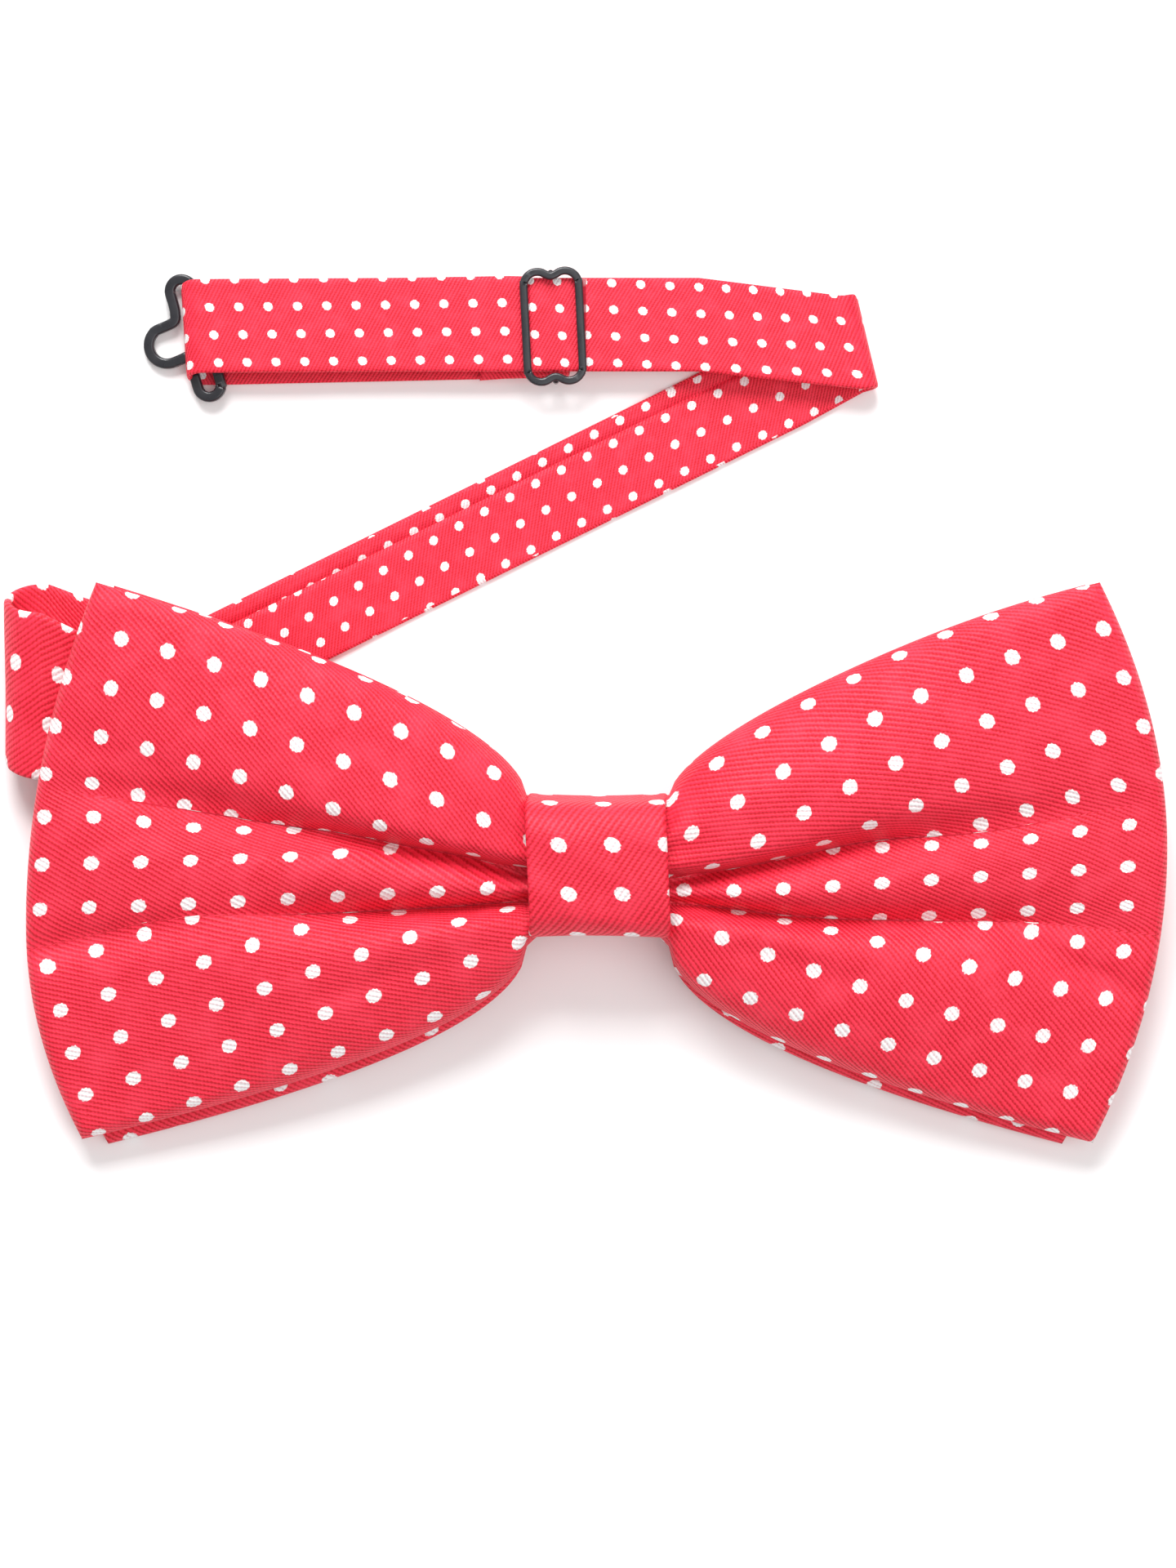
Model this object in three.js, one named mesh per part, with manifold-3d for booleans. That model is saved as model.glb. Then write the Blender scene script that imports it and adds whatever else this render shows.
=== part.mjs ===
// A pre-tied bow tie with its neck strap folded up behind it, lying face up on a table.
// Millimetres. X runs along the bow, Y from its lower edge to its upper edge, Z up from the table.
import * as THREE from "three";
import { mergeVertices } from "three/addons/utils/BufferGeometryUtils.js";
import Module from "manifold-3d";

const wasm = await Module();
wasm.setup();

// Driving dimensions
const GAP = 0.3; // clearance between pieces that touch
const STRAP_T = 0.6; // strap, thickness
const NARROW_W = 10; // adjuster band, width
const WIDE_W = 17.4; // band next to the bow, width
const CLOTH_T = 0.6; // one panel of the bow
const INTERLINING_T = 0.5;
const WING_LENGTH = 62.4; // knot centre to the widest point of a wing
const WING_HALF_HEIGHT = 30.6; // knot centre line to a wing's outer corner
const WING_CORNER_INSET = 7; // how far the corners stand in from the widest point
const WAIST_HALF_WIDTH = 9.2; // half the bow's height where it enters the knot
const REAR_SETBACK = 1.6; // the rear bow is this much shorter at each end
const REAR_DROP = 1.4; // and lies this much lower behind the front bow
const PUFF_HEIGHT = 4.2; // rise of the front panel over its edges
const KNOT_LENGTH = 15.4; // along X
const KNOT_WIDTH = 15.4; // along Y
const KNOT_RISE = 3.4; // knot's front above the waist's
const BEND_INSET = 0.6; // left bend's centre, in from the widest point of the wing
const NEAR_END_Y = 18.4; // near run's centre line at the left bend
const FAR_START_Y = 20.4; // far run's centre line at the left bend
const WIDE_FAR_LENGTH = 14.8; // left bend to the seam of the wide and the narrow band
const DIAGONAL_ANGLE = THREE.MathUtils.degToRad(26.3);
const BAND_Y = 60; // centre line of the adjuster band
const FOLD_X = 29.2; // where the diagonal run turns back over itself
const FOLD_DROP = 2; // the fold's middle lies this far below the band's centre line
const SLIDER_X = -4.8;
const SLIDER_WIDTH = 7.4;
const SLIDER_MARGIN = 1.55; // the slider's frame reaches this far past the band's edges
const BAR_W = 0.9; // slider's bars
const BAR_T = 0.7;
const SLIDER_TRAVEL = 16; // band that stays straight beyond the slider
const SLIDER_TAIL = 8.5; // cloth sewn back behind the slider's middle bar
const HOOK_X = -43.2; // middle of the hook's bar
const HOOK_LEAN = THREE.MathUtils.degToRad(16.5);
const HOOK_DIP = THREE.MathUtils.degToRad(7.5); // its open side rests on the table
const HOOK_DROP = 1; // its middle lies this far below the band's centre line
const HOOK_SPARE = 0.9; // the hook's straight bar is this much longer than the band is wide
const WIRE_W = 1.2; // hook and eye, width of the wire
const WIRE_T = 1.1; // and its thickness
const END_LOBE_R = 1.31; // hook's end lobes, to the middle of the wire
const HOOK_LOBE_R = 2.05; // the lobe that catches the eye
const HOOK_REACH = 4.6; // bar to the middle of that lobe
const LOOP_LENGTH = 7; // cloth round the hook's or the eye's bar
const TACK_T = 0.4; // thread bars that hold turned-back ends
const TAIL_INSET = 4.4; // tail's bend, in from the widest point of the wing
const EYE_X = 22; // middle of the eye's bar
const EYE_T = 0.9; // thickness of the eye's wire
const EYE_WIDTH = 7.4; // across the eye, between the middles of its wire
const EYE_SPARE = 2.4; // the eye is this much taller than the band is wide

// Places and heights that follow from the sizes above
const BEND_X = BEND_INSET - WING_LENGTH;
const SEAM_X = BEND_X + WIDE_FAR_LENGTH;
const TAIL_REACH = WING_LENGTH - TAIL_INSET;
const SLIDER_HEIGHT = NARROW_W + 2 * SLIDER_MARGIN;
const HOOK_BAR = NARROW_W + HOOK_SPARE;
const EYE_HEIGHT = NARROW_W + EYE_SPARE;
const RETURN_Z = STRAP_T / 2;
const LOW_BAR_Z = STRAP_T + GAP + BAR_T / 2; // slider's middle bar
const SLIDER_TAIL_Z = LOW_BAR_Z + BAR_T / 2 + GAP + STRAP_T / 2;
const BAND_Z = SLIDER_TAIL_Z + STRAP_T + GAP;
const FRAME_Z = BAND_Z + STRAP_T / 2 + GAP + BAR_T / 2;
const HOOK_BAR_Z = STRAP_T + GAP + WIRE_T / 2;
const LOOP_R = (BAND_Z - RETURN_Z) / 2;
const EYE_BAR_Z = STRAP_T + GAP + EYE_T / 2;
const EYE_LOOP_Z = EYE_BAR_Z + EYE_T / 2 + GAP + STRAP_T / 2;
const LEAN_ROOM = 0.07 * NARROW_W; // the strap behind the knot leans with the bow
const STACK_ROOM = TACK_T + GAP + STRAP_T + GAP + LEAN_ROOM; // from the eye's loop up to the bow
const BOW_Z = EYE_LOOP_Z + STRAP_T / 2 + STACK_ROOM; // back of the bow at the knot centre
const BOW_TILT = Math.asin(BOW_Z / (WING_HALF_HEIGHT + REAR_DROP)); // its lower corners rest on the table
const REAR_T = 2 * CLOTH_T + 2 * GAP + INTERLINING_T;
const FRONT_Z = REAR_T + GAP; // back of the front bow, above the back of the rear bow
const STRAP_UNDER_Z = -GAP - STRAP_T / 2; // strap behind the rear bow

const RED = 0xe8203c;
const SHADE_RED = 0xc4142e;
const LINING = 0xf1ede4;
const THREAD = 0xd01832;
const BLACK = 0x2b2c2f;

const object = new THREE.Group();

function addMesh(name, geometry, color, metalness = 0, roughness = 0.8) {
  const material = new THREE.MeshStandardMaterial({ color, metalness, roughness });
  const mesh = new THREE.Mesh(geometry, material);
  mesh.name = name;
  object.add(mesh);
  return mesh;
}

function indexedGeometry(positions, indices) {
  const geometry = new THREE.BufferGeometry();
  geometry.setAttribute("position", new THREE.Float32BufferAttribute(positions, 3));
  geometry.setIndex(indices);
  geometry.computeVertexNormals();
  return geometry;
}

// A closed sheet of even thickness about the grid of middle points grid[i][j].
function sheet(grid, thickness) {
  const rows = grid.length;
  const columns = grid[0].length;
  const positions = [];
  const faceNormal = (i, j) => {
    const along = grid[Math.min(i + 1, rows - 1)][j].clone().sub(grid[Math.max(i - 1, 0)][j]);
    const across = grid[i][Math.min(j + 1, columns - 1)].clone().sub(grid[i][Math.max(j - 1, 0)]);
    return along.cross(across).normalize();
  };
  for (const side of [0.5, -0.5])
    for (let i = 0; i < rows; i++)
      for (let j = 0; j < columns; j++) {
        const point = grid[i][j].clone().addScaledVector(faceNormal(i, j), side * thickness);
        positions.push(point.x, point.y, point.z);
      }
  const indices = [];
  const quad = (a, b, c, d) => indices.push(a, b, c, a, c, d);
  const top = (i, j) => i * columns + j;
  const under = (i, j) => rows * columns + i * columns + j;
  for (let i = 0; i < rows - 1; i++)
    for (let j = 0; j < columns - 1; j++) {
      quad(top(i, j), top(i + 1, j), top(i + 1, j + 1), top(i, j + 1));
      quad(under(i, j), under(i, j + 1), under(i + 1, j + 1), under(i + 1, j));
    }
  for (let i = 0; i < rows - 1; i++) {
    quad(top(i, 0), under(i, 0), under(i + 1, 0), top(i + 1, 0));
    quad(top(i + 1, columns - 1), under(i + 1, columns - 1), under(i, columns - 1), top(i, columns - 1));
  }
  for (let j = 0; j < columns - 1; j++) {
    quad(top(0, j + 1), under(0, j + 1), under(0, j), top(0, j));
    quad(top(rows - 1, j), under(rows - 1, j), under(rows - 1, j + 1), top(rows - 1, j + 1));
  }
  return indexedGeometry(positions, indices);
}

// A band through stations of a centre point and a half-width vector.
function band(stations, thickness, columns = 2) {
  const grid = stations.map(({ centre, half }) => {
    const row = [];
    for (let j = 0; j <= columns; j++)
      row.push(centre.clone().addScaledVector(half, (2 * j) / columns - 1));
    return row;
  });
  return sheet(grid, thickness);
}

const vec = (x, y, z) => new THREE.Vector3(x, y, z);
const mix = THREE.MathUtils.lerp;

// From the bow's own plane, where z is 0 at its back, to the table's frame.
function tilted(x, y, z) {
  const point = vec(x, y, z).applyAxisAngle(vec(1, 0, 0), BOW_TILT);
  point.z += BOW_Z;
  return point;
}

// Stations of a U-turn from one station to another; both halves are joined by half circles.
function turn(from, to, outward, steps) {
  const stations = [];
  for (let i = 0; i <= steps; i++) {
    const angle = (Math.PI * i) / steps;
    const share = (1 - Math.cos(angle)) / 2;
    const centre = from.centre.clone().lerp(to.centre, share);
    const radius = from.centre.distanceTo(to.centre) / 2;
    centre.addScaledVector(outward, radius * Math.sin(angle));
    stations.push({ centre, half: from.half.clone().lerp(to.half, share) });
  }
  return stations;
}

function straight(from, to, steps) {
  const stations = [];
  for (let i = 0; i <= steps; i++)
    stations.push({
      centre: from.centre.clone().lerp(to.centre, i / steps),
      half: from.half.clone().lerp(to.half, i / steps),
    });
  return stations;
}

const moved = (station, direction, distance) => ({
  centre: station.centre.clone().addScaledVector(direction, distance),
  half: station.half,
});

// Bow

// Outline of a wing: t runs from the knot (0) to the outer edge (1), v from the lower edge to the upper.
function wingPoint(t, v, length, drop) {
  const edge = 2 * v - 1;
  const spread = mix(WAIST_HALF_WIDTH, WING_HALF_HEIGHT, Math.pow(t, 0.58));
  const outer = length - WING_CORNER_INSET * Math.pow(Math.abs(edge), 2.4);
  return [mix(KNOT_LENGTH / 2 + GAP, outer, t), edge * spread - drop * t * (1 - v)];
}

// A wing is one length of cloth that runs out behind, turns at the outer edge and comes back in front.
function wing(side, length, drop, backZ, puff) {
  const along = 9;
  const around = 4;
  const across = 12;
  const grid = [];
  const row = (t, z, swell) => {
    const points = [];
    for (let j = 0; j <= across; j++) {
      const v = j / across;
      const [x, y] = wingPoint(t, v, length, drop);
      const crown = Math.sqrt(Math.sin(Math.PI * mix(0.02, 0.98, v)));
      const folds = 1 - 0.3 * Math.pow(Math.cos(3 * Math.PI * v), 2) * (1 - t);
      points.push(tilted(side * x, y, z + swell * crown * folds));
    }
    if (side > 0) points.reverse();
    return points;
  };
  const turnRadius = (REAR_T - CLOTH_T) / 2;
  const last = 1 - turnRadius / length;
  for (let i = 0; i <= along; i++) grid.push(row((last * i) / along, backZ + CLOTH_T / 2, 0));
  for (let i = 1; i < around; i++) {
    const angle = (Math.PI * i) / around;
    const z = backZ + CLOTH_T / 2 + turnRadius * (1 - Math.cos(angle));
    grid.push(row(last + (1 - last) * Math.sin(angle), z, 0));
  }
  for (let i = along; i >= 0; i--) {
    const t = (last * i) / along;
    const swell = puff * Math.pow(Math.sin(Math.PI * mix(0.16, 1, t)), 0.7);
    grid.push(row(t, backZ + REAR_T - CLOTH_T / 2, swell));
  }
  return sheet(grid, CLOTH_T);
}

function interlining(side, length, drop, backZ) {
  const grid = [];
  const steps = 8;
  const across = 4;
  const last = 1 - (CLOTH_T + REAR_T) / length;
  for (let i = 0; i <= steps; i++) {
    const points = [];
    for (let j = 0; j <= across; j++) {
      const [x, y] = wingPoint((last * i) / steps, mix(0.04, 0.96, j / across), length, drop);
      points.push(tilted(side * x, y, backZ + REAR_T / 2));
    }
    if (side < 0) points.reverse();
    grid.push(points);
  }
  return sheet(grid, INTERLINING_T);
}

const REAR_LENGTH = WING_LENGTH - REAR_SETBACK;
for (const [word, side] of [["left", -1], ["right", 1]]) {
  addMesh(`rear_bow_${word}_wing`, wing(side, REAR_LENGTH, REAR_DROP, 0, 0), SHADE_RED);
  addMesh(`rear_bow_${word}_interlining`, interlining(side, REAR_LENGTH, REAR_DROP, 0), LINING);
  addMesh(`front_bow_${word}_wing`, wing(side, WING_LENGTH, 0, FRONT_Z, PUFF_HEIGHT), RED);
  addMesh(`front_bow_${word}_interlining`, interlining(side, WING_LENGTH, 0, FRONT_Z), LINING);
}

// A block whose rounded section lies across the bow, from lowZ to highZ in the bow's own plane.
function crossBlock(length, width, lowZ, highZ, corner) {
  const half = width / 2;
  const shape = new THREE.Shape();
  shape.moveTo(-half + corner, lowZ);
  shape.lineTo(half - corner, lowZ);
  shape.quadraticCurveTo(half, lowZ, half, lowZ + corner);
  shape.lineTo(half, highZ - corner);
  shape.quadraticCurveTo(half, highZ, half - corner, highZ);
  shape.lineTo(-half + corner, highZ);
  shape.quadraticCurveTo(-half, highZ, -half, highZ - corner);
  shape.lineTo(-half, lowZ + corner);
  shape.quadraticCurveTo(-half, lowZ, -half + corner, lowZ);
  return { shape, length };
}

function placeCrossBlock({ shape, length }) {
  const settings = { depth: length, bevelEnabled: false, curveSegments: 4 };
  const geometry = new THREE.ExtrudeGeometry(shape, settings);
  geometry.translate(0, 0, -length / 2);
  const axes = new THREE.Matrix4().makeBasis(vec(0, 1, 0), vec(0, 0, 1), vec(1, 0, 0));
  geometry.applyMatrix4(axes);
  geometry.applyMatrix4(new THREE.Matrix4().makeRotationX(BOW_TILT));
  geometry.translate(0, 0, BOW_Z);
  return geometry;
}

const WAIST_TOP = FRONT_Z + REAR_T + PUFF_HEIGHT / 2;
const KNOT_INNER_HALF = KNOT_WIDTH / 2 - CLOTH_T;
const KNOT_LOW_Z = STRAP_UNDER_Z - STRAP_T / 2 - GAP - CLOTH_T;
const KNOT_TOP_Z = WAIST_TOP + KNOT_RISE;

const waistWidth = 2 * (KNOT_INNER_HALF - GAP);
const REAR_WAIST_CORNER = 0.8;
const FRONT_WAIST_CORNER = 1.6;
const WRAP_CORNER = 3;
const rearWaist = crossBlock(KNOT_LENGTH, waistWidth, 0, REAR_T, REAR_WAIST_CORNER);
addMesh("rear_waist", placeCrossBlock(rearWaist), SHADE_RED);
const frontWaist = crossBlock(KNOT_LENGTH, waistWidth, FRONT_Z, WAIST_TOP, FRONT_WAIST_CORNER);
addMesh("front_waist", placeCrossBlock(frontWaist), RED);

// The knot wrap goes all the way round the waist and the strap.
const wrap = crossBlock(KNOT_LENGTH, KNOT_WIDTH, KNOT_LOW_Z, KNOT_TOP_Z, WRAP_CORNER);
const inside = crossBlock(
  KNOT_LENGTH,
  2 * KNOT_INNER_HALF,
  KNOT_LOW_Z + CLOTH_T,
  KNOT_TOP_Z - CLOTH_T,
  WRAP_CORNER - CLOTH_T - 0.2,
).shape;
wrap.shape.holes.push(new THREE.Path(inside.getPoints(4).reverse()));
addMesh("knot_wrap", placeCrossBlock(wrap), RED);
const padding = crossBlock(
  KNOT_LENGTH - 2 * GAP,
  waistWidth - 1,
  WAIST_TOP + GAP,
  KNOT_TOP_Z - CLOTH_T - GAP,
  0.9,
);
addMesh("knot_padding", placeCrossBlock(padding), LINING);
const BACK_TACK_T = 0.5;
const BACK_TACK_WIDTH = 1.2;
const backTackTop = KNOT_LOW_Z - GAP;
const tack = crossBlock(0.6 * KNOT_LENGTH, BACK_TACK_WIDTH, backTackTop - BACK_TACK_T, backTackTop, 0.2);
addMesh("knot_back_tack", placeCrossBlock(tack), THREAD);

// Wide band of the strap

const PINCH = KNOT_INNER_HALF - 1.6; // half width of the strap, clear of the knot's round corners
function nearStation(t) {
  const x = mix(-GAP / 2, BEND_X, t);
  const beyondKnot = Math.max(0, (x + KNOT_LENGTH / 2) / (BEND_X + KNOT_LENGTH / 2));
  const y = NEAR_END_Y * Math.pow(beyondKnot, 1.5);
  const half = mix(PINCH, WIDE_W / 2, Math.min(1, 2.4 * beyondKnot));
  const centre = tilted(x, y, STRAP_UNDER_Z);
  const heel = tilted(x, y + half, STRAP_UNDER_Z);
  return { centre, half: heel.sub(centre) };
}
const nearStations = [];
const NEAR_STEPS = 12;
for (let i = 0; i <= NEAR_STEPS; i++) nearStations.push(nearStation(i / NEAR_STEPS));
const nearEnd = nearStations[NEAR_STEPS];
addMesh("wide_near_run", band(nearStations.slice().reverse(), STRAP_T), RED);

const farStart = { centre: vec(BEND_X, FAR_START_Y, RETURN_Z), half: vec(0, WIDE_W / 2, 0) };
const right = vec(1, 0, 0);
const left = vec(-1, 0, 0);
const leftTurn = turn(moved(farStart, left, GAP), moved(nearEnd, left, GAP), left, 12);
addMesh("left_bend", band(leftTurn, STRAP_T), RED);

// Narrow band: its centre line passes under the left wing to the right fold.
const diagonal = vec(Math.cos(DIAGONAL_ANGLE), Math.sin(DIAGONAL_ANGLE), 0);
const diagonalHalf = vec(-diagonal.y, diagonal.x, 0).multiplyScalar(NARROW_W / 2);
const foldPoint = vec(FOLD_X, BAND_Y - FOLD_DROP, RETURN_Z);
const seamPoint = foldPoint.clone().addScaledVector(diagonal, (SEAM_X - FOLD_X) / diagonal.x);
const seamStation = { centre: seamPoint, half: diagonalHalf };
const wideEnd = {
  centre: seamPoint.clone().addScaledVector(diagonal, -GAP),
  half: diagonalHalf.clone().setLength(WIDE_W * 0.42),
};
addMesh("wide_far_run", band(straight(farStart, wideEnd, 3), STRAP_T), RED);
const seamLength = 1;
const seamHalf = diagonalHalf.clone().multiplyScalar(0.9);
const seamUp = vec(0, 0, STRAP_T + GAP);
const seamMiddle = { centre: seamPoint.clone().add(seamUp), half: seamHalf };
const seamRows = straight(
  moved(seamMiddle, diagonal, -seamLength),
  moved(seamMiddle, diagonal, seamLength),
  2,
);
addMesh("band_seam_tack", band(seamRows, TACK_T), THREAD);

// The fold's crease bisects the two runs, so both lie flat.
const creaseAngle = (Math.PI + DIAGONAL_ANGLE) / 2;
const crease = vec(Math.cos(creaseAngle), Math.sin(creaseAngle), 0);
const creaseHalf = crease.clone().multiplyScalar(NARROW_W / 2 / Math.sin(creaseAngle));
const outFromFold = vec(crease.y, -crease.x, 0);
const foldLow = { centre: foldPoint, half: creaseHalf };
const foldHigh = { centre: foldPoint.clone().setZ(BAND_Z), half: creaseHalf };
addMesh("diagonal_run", band(straight(seamStation, moved(foldLow, diagonal, -GAP), 6), STRAP_T), RED);
addMesh("right_fold", band(turn(foldLow, foldHigh, outFromFold, 8), STRAP_T), RED);

// Adjuster band: a straight run over the diagonal run, through the slider to the hook.
const bandHalf = vec(0, NARROW_W / 2, 0);
const bandStation = (x, z) => ({ centre: vec(x, BAND_Y, z), half: bandHalf });
const runHead = moved(foldHigh, left, GAP);
const adjusterRun = [
  bandStation(SLIDER_X, BAND_Z),
  ...straight(bandStation(SLIDER_X + SLIDER_TRAVEL, BAND_Z), runHead, 4),
];
addMesh("adjuster_run", band(adjusterRun, STRAP_T), RED);
const loopRight = HOOK_X + LOOP_LENGTH / 2;
const frontRun = straight(bandStation(loopRight, BAND_Z), bandStation(SLIDER_X - GAP, BAND_Z), 4);
addMesh("front_run", band(frontRun, STRAP_T), RED);

// The loop's closed end leans with the hook's bar, whose end lobe pushes in the upper corner.
const LOOP_NARROWING = 0.6;
const loopHalfWidth = (NARROW_W - LOOP_NARROWING) / 2;
const barLeanAtEdge = (NARROW_W / 2 - LOOP_NARROWING) * Math.tan(HOOK_LEAN);
const loopUpperX = HOOK_X - barLeanAtEdge - 3 * WIRE_W / 2 + LOOP_R + STRAP_T / 2;
const loopLowerX = HOOK_X - 2.08 * WIRE_W + LOOP_R + STRAP_T / 2;
const loopHalf = vec((loopUpperX - loopLowerX) / 2, loopHalfWidth, 0);
const loopCentre = (z) => vec((loopUpperX + loopLowerX) / 2, BAND_Y - LOOP_NARROWING / 2, z);
const loopLow = { centre: loopCentre(RETURN_Z), half: loopHalf };
const loopHigh = { centre: loopCentre(BAND_Z), half: loopHalf };
const hookLoop = [
  bandStation(loopRight - GAP, RETURN_Z),
  ...turn(loopLow, loopHigh, left, 8),
  bandStation(loopRight - GAP, BAND_Z),
];
addMesh("hook_loop", band(hookLoop.reverse(), STRAP_T), RED);
const returnEnd = SLIDER_X + BAR_W / 2;
const returnRun = straight(
  bandStation(loopRight, RETURN_Z),
  bandStation(returnEnd - GAP, RETURN_Z),
  4,
);
addMesh("return_run", band(returnRun, STRAP_T), RED);
const sliderLoop = [
  ...turn(bandStation(returnEnd, RETURN_Z), bandStation(returnEnd, SLIDER_TAIL_Z), right, 8),
  bandStation(SLIDER_X - BAR_W, SLIDER_TAIL_Z),
  bandStation(SLIDER_X - SLIDER_TAIL, STRAP_T + GAP + STRAP_T / 2),
];
addMesh("slider_loop", band(sliderLoop, STRAP_T), RED);

// Hardware

// A flat wire of width w and thickness t along points in the XY plane, with chamfered edges.
function wire(points, w, t, closed) {
  const chamfer = 0.22;
  const section = [
    [-w / 2, -t / 2 + chamfer],
    [-w / 2 + chamfer, -t / 2],
    [w / 2 - chamfer, -t / 2],
    [w / 2, -t / 2 + chamfer],
    [w / 2, t / 2 - chamfer],
    [w / 2 - chamfer, t / 2],
    [-w / 2 + chamfer, t / 2],
    [-w / 2, t / 2 - chamfer],
  ];
  const count = points.length;
  const sides = section.length;
  const positions = [];
  points.forEach((point, i) => {
    const before = points[closed ? (i + count - 1) % count : Math.max(i - 1, 0)];
    const after = points[closed ? (i + 1) % count : Math.min(i + 1, count - 1)];
    const tangent = after.clone().sub(before).normalize();
    for (const [across, up] of section)
      positions.push(point.x - tangent.y * across, point.y + tangent.x * across, up);
  });
  const indices = [];
  for (let i = 0; i < (closed ? count : count - 1); i++)
    for (let k = 0; k < sides; k++) {
      const a = i * sides + k;
      const b = i * sides + ((k + 1) % sides);
      const c = ((i + 1) % count) * sides + ((k + 1) % sides);
      const d = ((i + 1) % count) * sides + k;
      indices.push(a, b, c, a, c, d);
    }
  if (!closed)
    for (let k = 1; k < sides - 1; k++) {
      indices.push(0, k + 1, k);
      const last = (count - 1) * sides;
      indices.push(last, last + k, last + k + 1);
    }
  const geometry = indexedGeometry(positions, indices);
  return solidOf(geometry).volume() < 0 ? flipped(geometry) : geometry;
}

function flipped(geometry) {
  const index = geometry.index.array;
  for (let i = 0; i < index.length; i += 3) [index[i + 1], index[i + 2]] = [index[i + 2], index[i + 1]];
  geometry.computeVertexNormals();
  return geometry;
}

function solidOf(geometry) {
  const plain = geometry.clone();
  plain.deleteAttribute("normal");
  if (plain.getAttribute("uv")) plain.deleteAttribute("uv");
  const merged = mergeVertices(plain, 1e-4);
  return new wasm.Manifold(
    new wasm.Mesh({
      numProp: 3,
      vertProperties: new Float32Array(merged.attributes.position.array),
      triVerts: new Uint32Array(merged.index.array),
    }),
  );
}

function geometryOf(solid) {
  const mesh = solid.getMesh();
  return indexedGeometry(Array.from(mesh.vertProperties), Array.from(mesh.triVerts));
}

const at = (x, y) => new THREE.Vector2(x, y);
function arc(cx, cy, r, fromDegrees, toDegrees, steps) {
  const points = [];
  for (let i = 0; i <= steps; i++) {
    const angle = THREE.MathUtils.degToRad(mix(fromDegrees, toDegrees, i / steps));
    points.push(at(cx + r * Math.cos(angle), cy + r * Math.sin(angle)));
  }
  return points;
}

function sliderGeometry() {
  const x = (SLIDER_WIDTH - BAR_W) / 2;
  const y = (SLIDER_HEIGHT - BAR_W) / 2;
  const lobe = x / 2;
  const notchDepth = 0.6;
  const quarter = [...arc(x - lobe, y - lobe, lobe, 0, 118, 7), at(0, y - notchDepth)];
  const mirrored = (half, sx, sy) => half.map((p) => at(p.x * sx, p.y * sy));
  const upper = [...quarter, ...mirrored(quarter.slice(0, -1), -1, 1).reverse()];
  const loop = [...upper, ...mirrored(upper, -1, -1)];
  const frame = wire(loop, BAR_W, BAR_T, true).translate(0, 0, FRAME_Z);
  const postW = 0.6;
  const postY = NARROW_W / 2 + GAP + postW / 2;
  const low = LOW_BAR_Z - BAR_T / 2;
  const bar = new THREE.BoxGeometry(BAR_W, 2 * postY + postW, BAR_T);
  bar.translate(0, 0, LOW_BAR_Z);
  let solid = solidOf(frame).add(solidOf(bar));
  for (const side of [-1, 1]) {
    const post = new THREE.BoxGeometry(BAR_W, postW, FRAME_Z - low);
    post.translate(0, side * postY, (FRAME_Z + low) / 2);
    solid = solid.add(solidOf(post));
  }
  return geometryOf(solid);
}
const slider = addMesh("slider", sliderGeometry(), BLACK, 0.6, 0.45);
slider.position.set(SLIDER_X, BAND_Y, 0);

// The hook, in its own plane: the bar lies on the Y axis and the catching lobe at +X.
function hookGeometry() {
  const half = HOOK_BAR / 2;
  const neckX = 2 * END_LOBE_R;
  const lobeShift = 0.17;
  const points = [
    at(neckX, -half + 1.7),
    ...arc(END_LOBE_R, -half, END_LOBE_R, 0, -180, 8),
    ...arc(END_LOBE_R, half, END_LOBE_R, 180, 0, 8),
  ];
  const neck = new THREE.SplineCurve([
    at(neckX, half),
    at(neckX - 0.02, half - 1.7),
    at(neckX + 0.3, half - 2.8),
    at(neckX + 1.15, half - 3.4),
  ]);
  points.push(...neck.getPoints(8).slice(1));
  points.push(...arc(HOOK_REACH, lobeShift, HOOK_LOBE_R, 72, -92, 12));
  points.push(at(HOOK_REACH - 0.75, lobeShift - HOOK_LOBE_R));
  return wire(points, WIRE_W, WIRE_T, false);
}
const hook = addMesh("hook", hookGeometry(), BLACK, 0.6, 0.45);
const hookPlane = new THREE.Matrix4().makeRotationY(HOOK_DIP);
hookPlane.premultiply(new THREE.Matrix4().makeRotationZ(Math.PI + HOOK_LEAN));
hook.geometry.scale(1, -1, 1);
flipped(hook.geometry);
hook.applyMatrix4(hookPlane);
hook.position.set(HOOK_X, BAND_Y - HOOK_DROP, HOOK_BAR_Z);

// Tail of the strap, folded back behind the right wing and ending in the eye.
const tailHalf = NARROW_W / 2;
const tailHighZ = tilted(0, 0, STRAP_UNDER_Z).z;
const tailHigh = (x) => {
  const width = x < KNOT_LENGTH / 2 ? Math.min(PINCH, tailHalf) : tailHalf;
  const half = vec(0, Math.cos(BOW_TILT), Math.sin(BOW_TILT)).multiplyScalar(width);
  return { centre: vec(x, 0, tailHighZ), half };
};
const tailLow = (x, z = RETURN_Z) => ({ centre: vec(x, 0, z), half: vec(0, tailHalf, 0) });
const tailTurn = turn(
  moved(tailLow(TAIL_REACH), right, GAP),
  moved(tailHigh(TAIL_REACH), right, GAP),
  right,
  8,
);
addMesh("tail_near_run", band(straight(tailHigh(GAP / 2), tailHigh(TAIL_REACH), 4), STRAP_T), RED);
addMesh("tail_bend", band(tailTurn, STRAP_T), RED);
const eyeLoopRight = EYE_X + LOOP_LENGTH / 2;
addMesh("tail_far_run", band(straight(tailLow(eyeLoopRight + GAP), tailLow(TAIL_REACH), 3), STRAP_T), RED);
const eyeLoop = [
  tailLow(eyeLoopRight),
  ...turn(tailLow(EYE_X), tailLow(EYE_X, EYE_LOOP_Z), left, 8),
  tailLow(eyeLoopRight, EYE_LOOP_Z),
];
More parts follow.
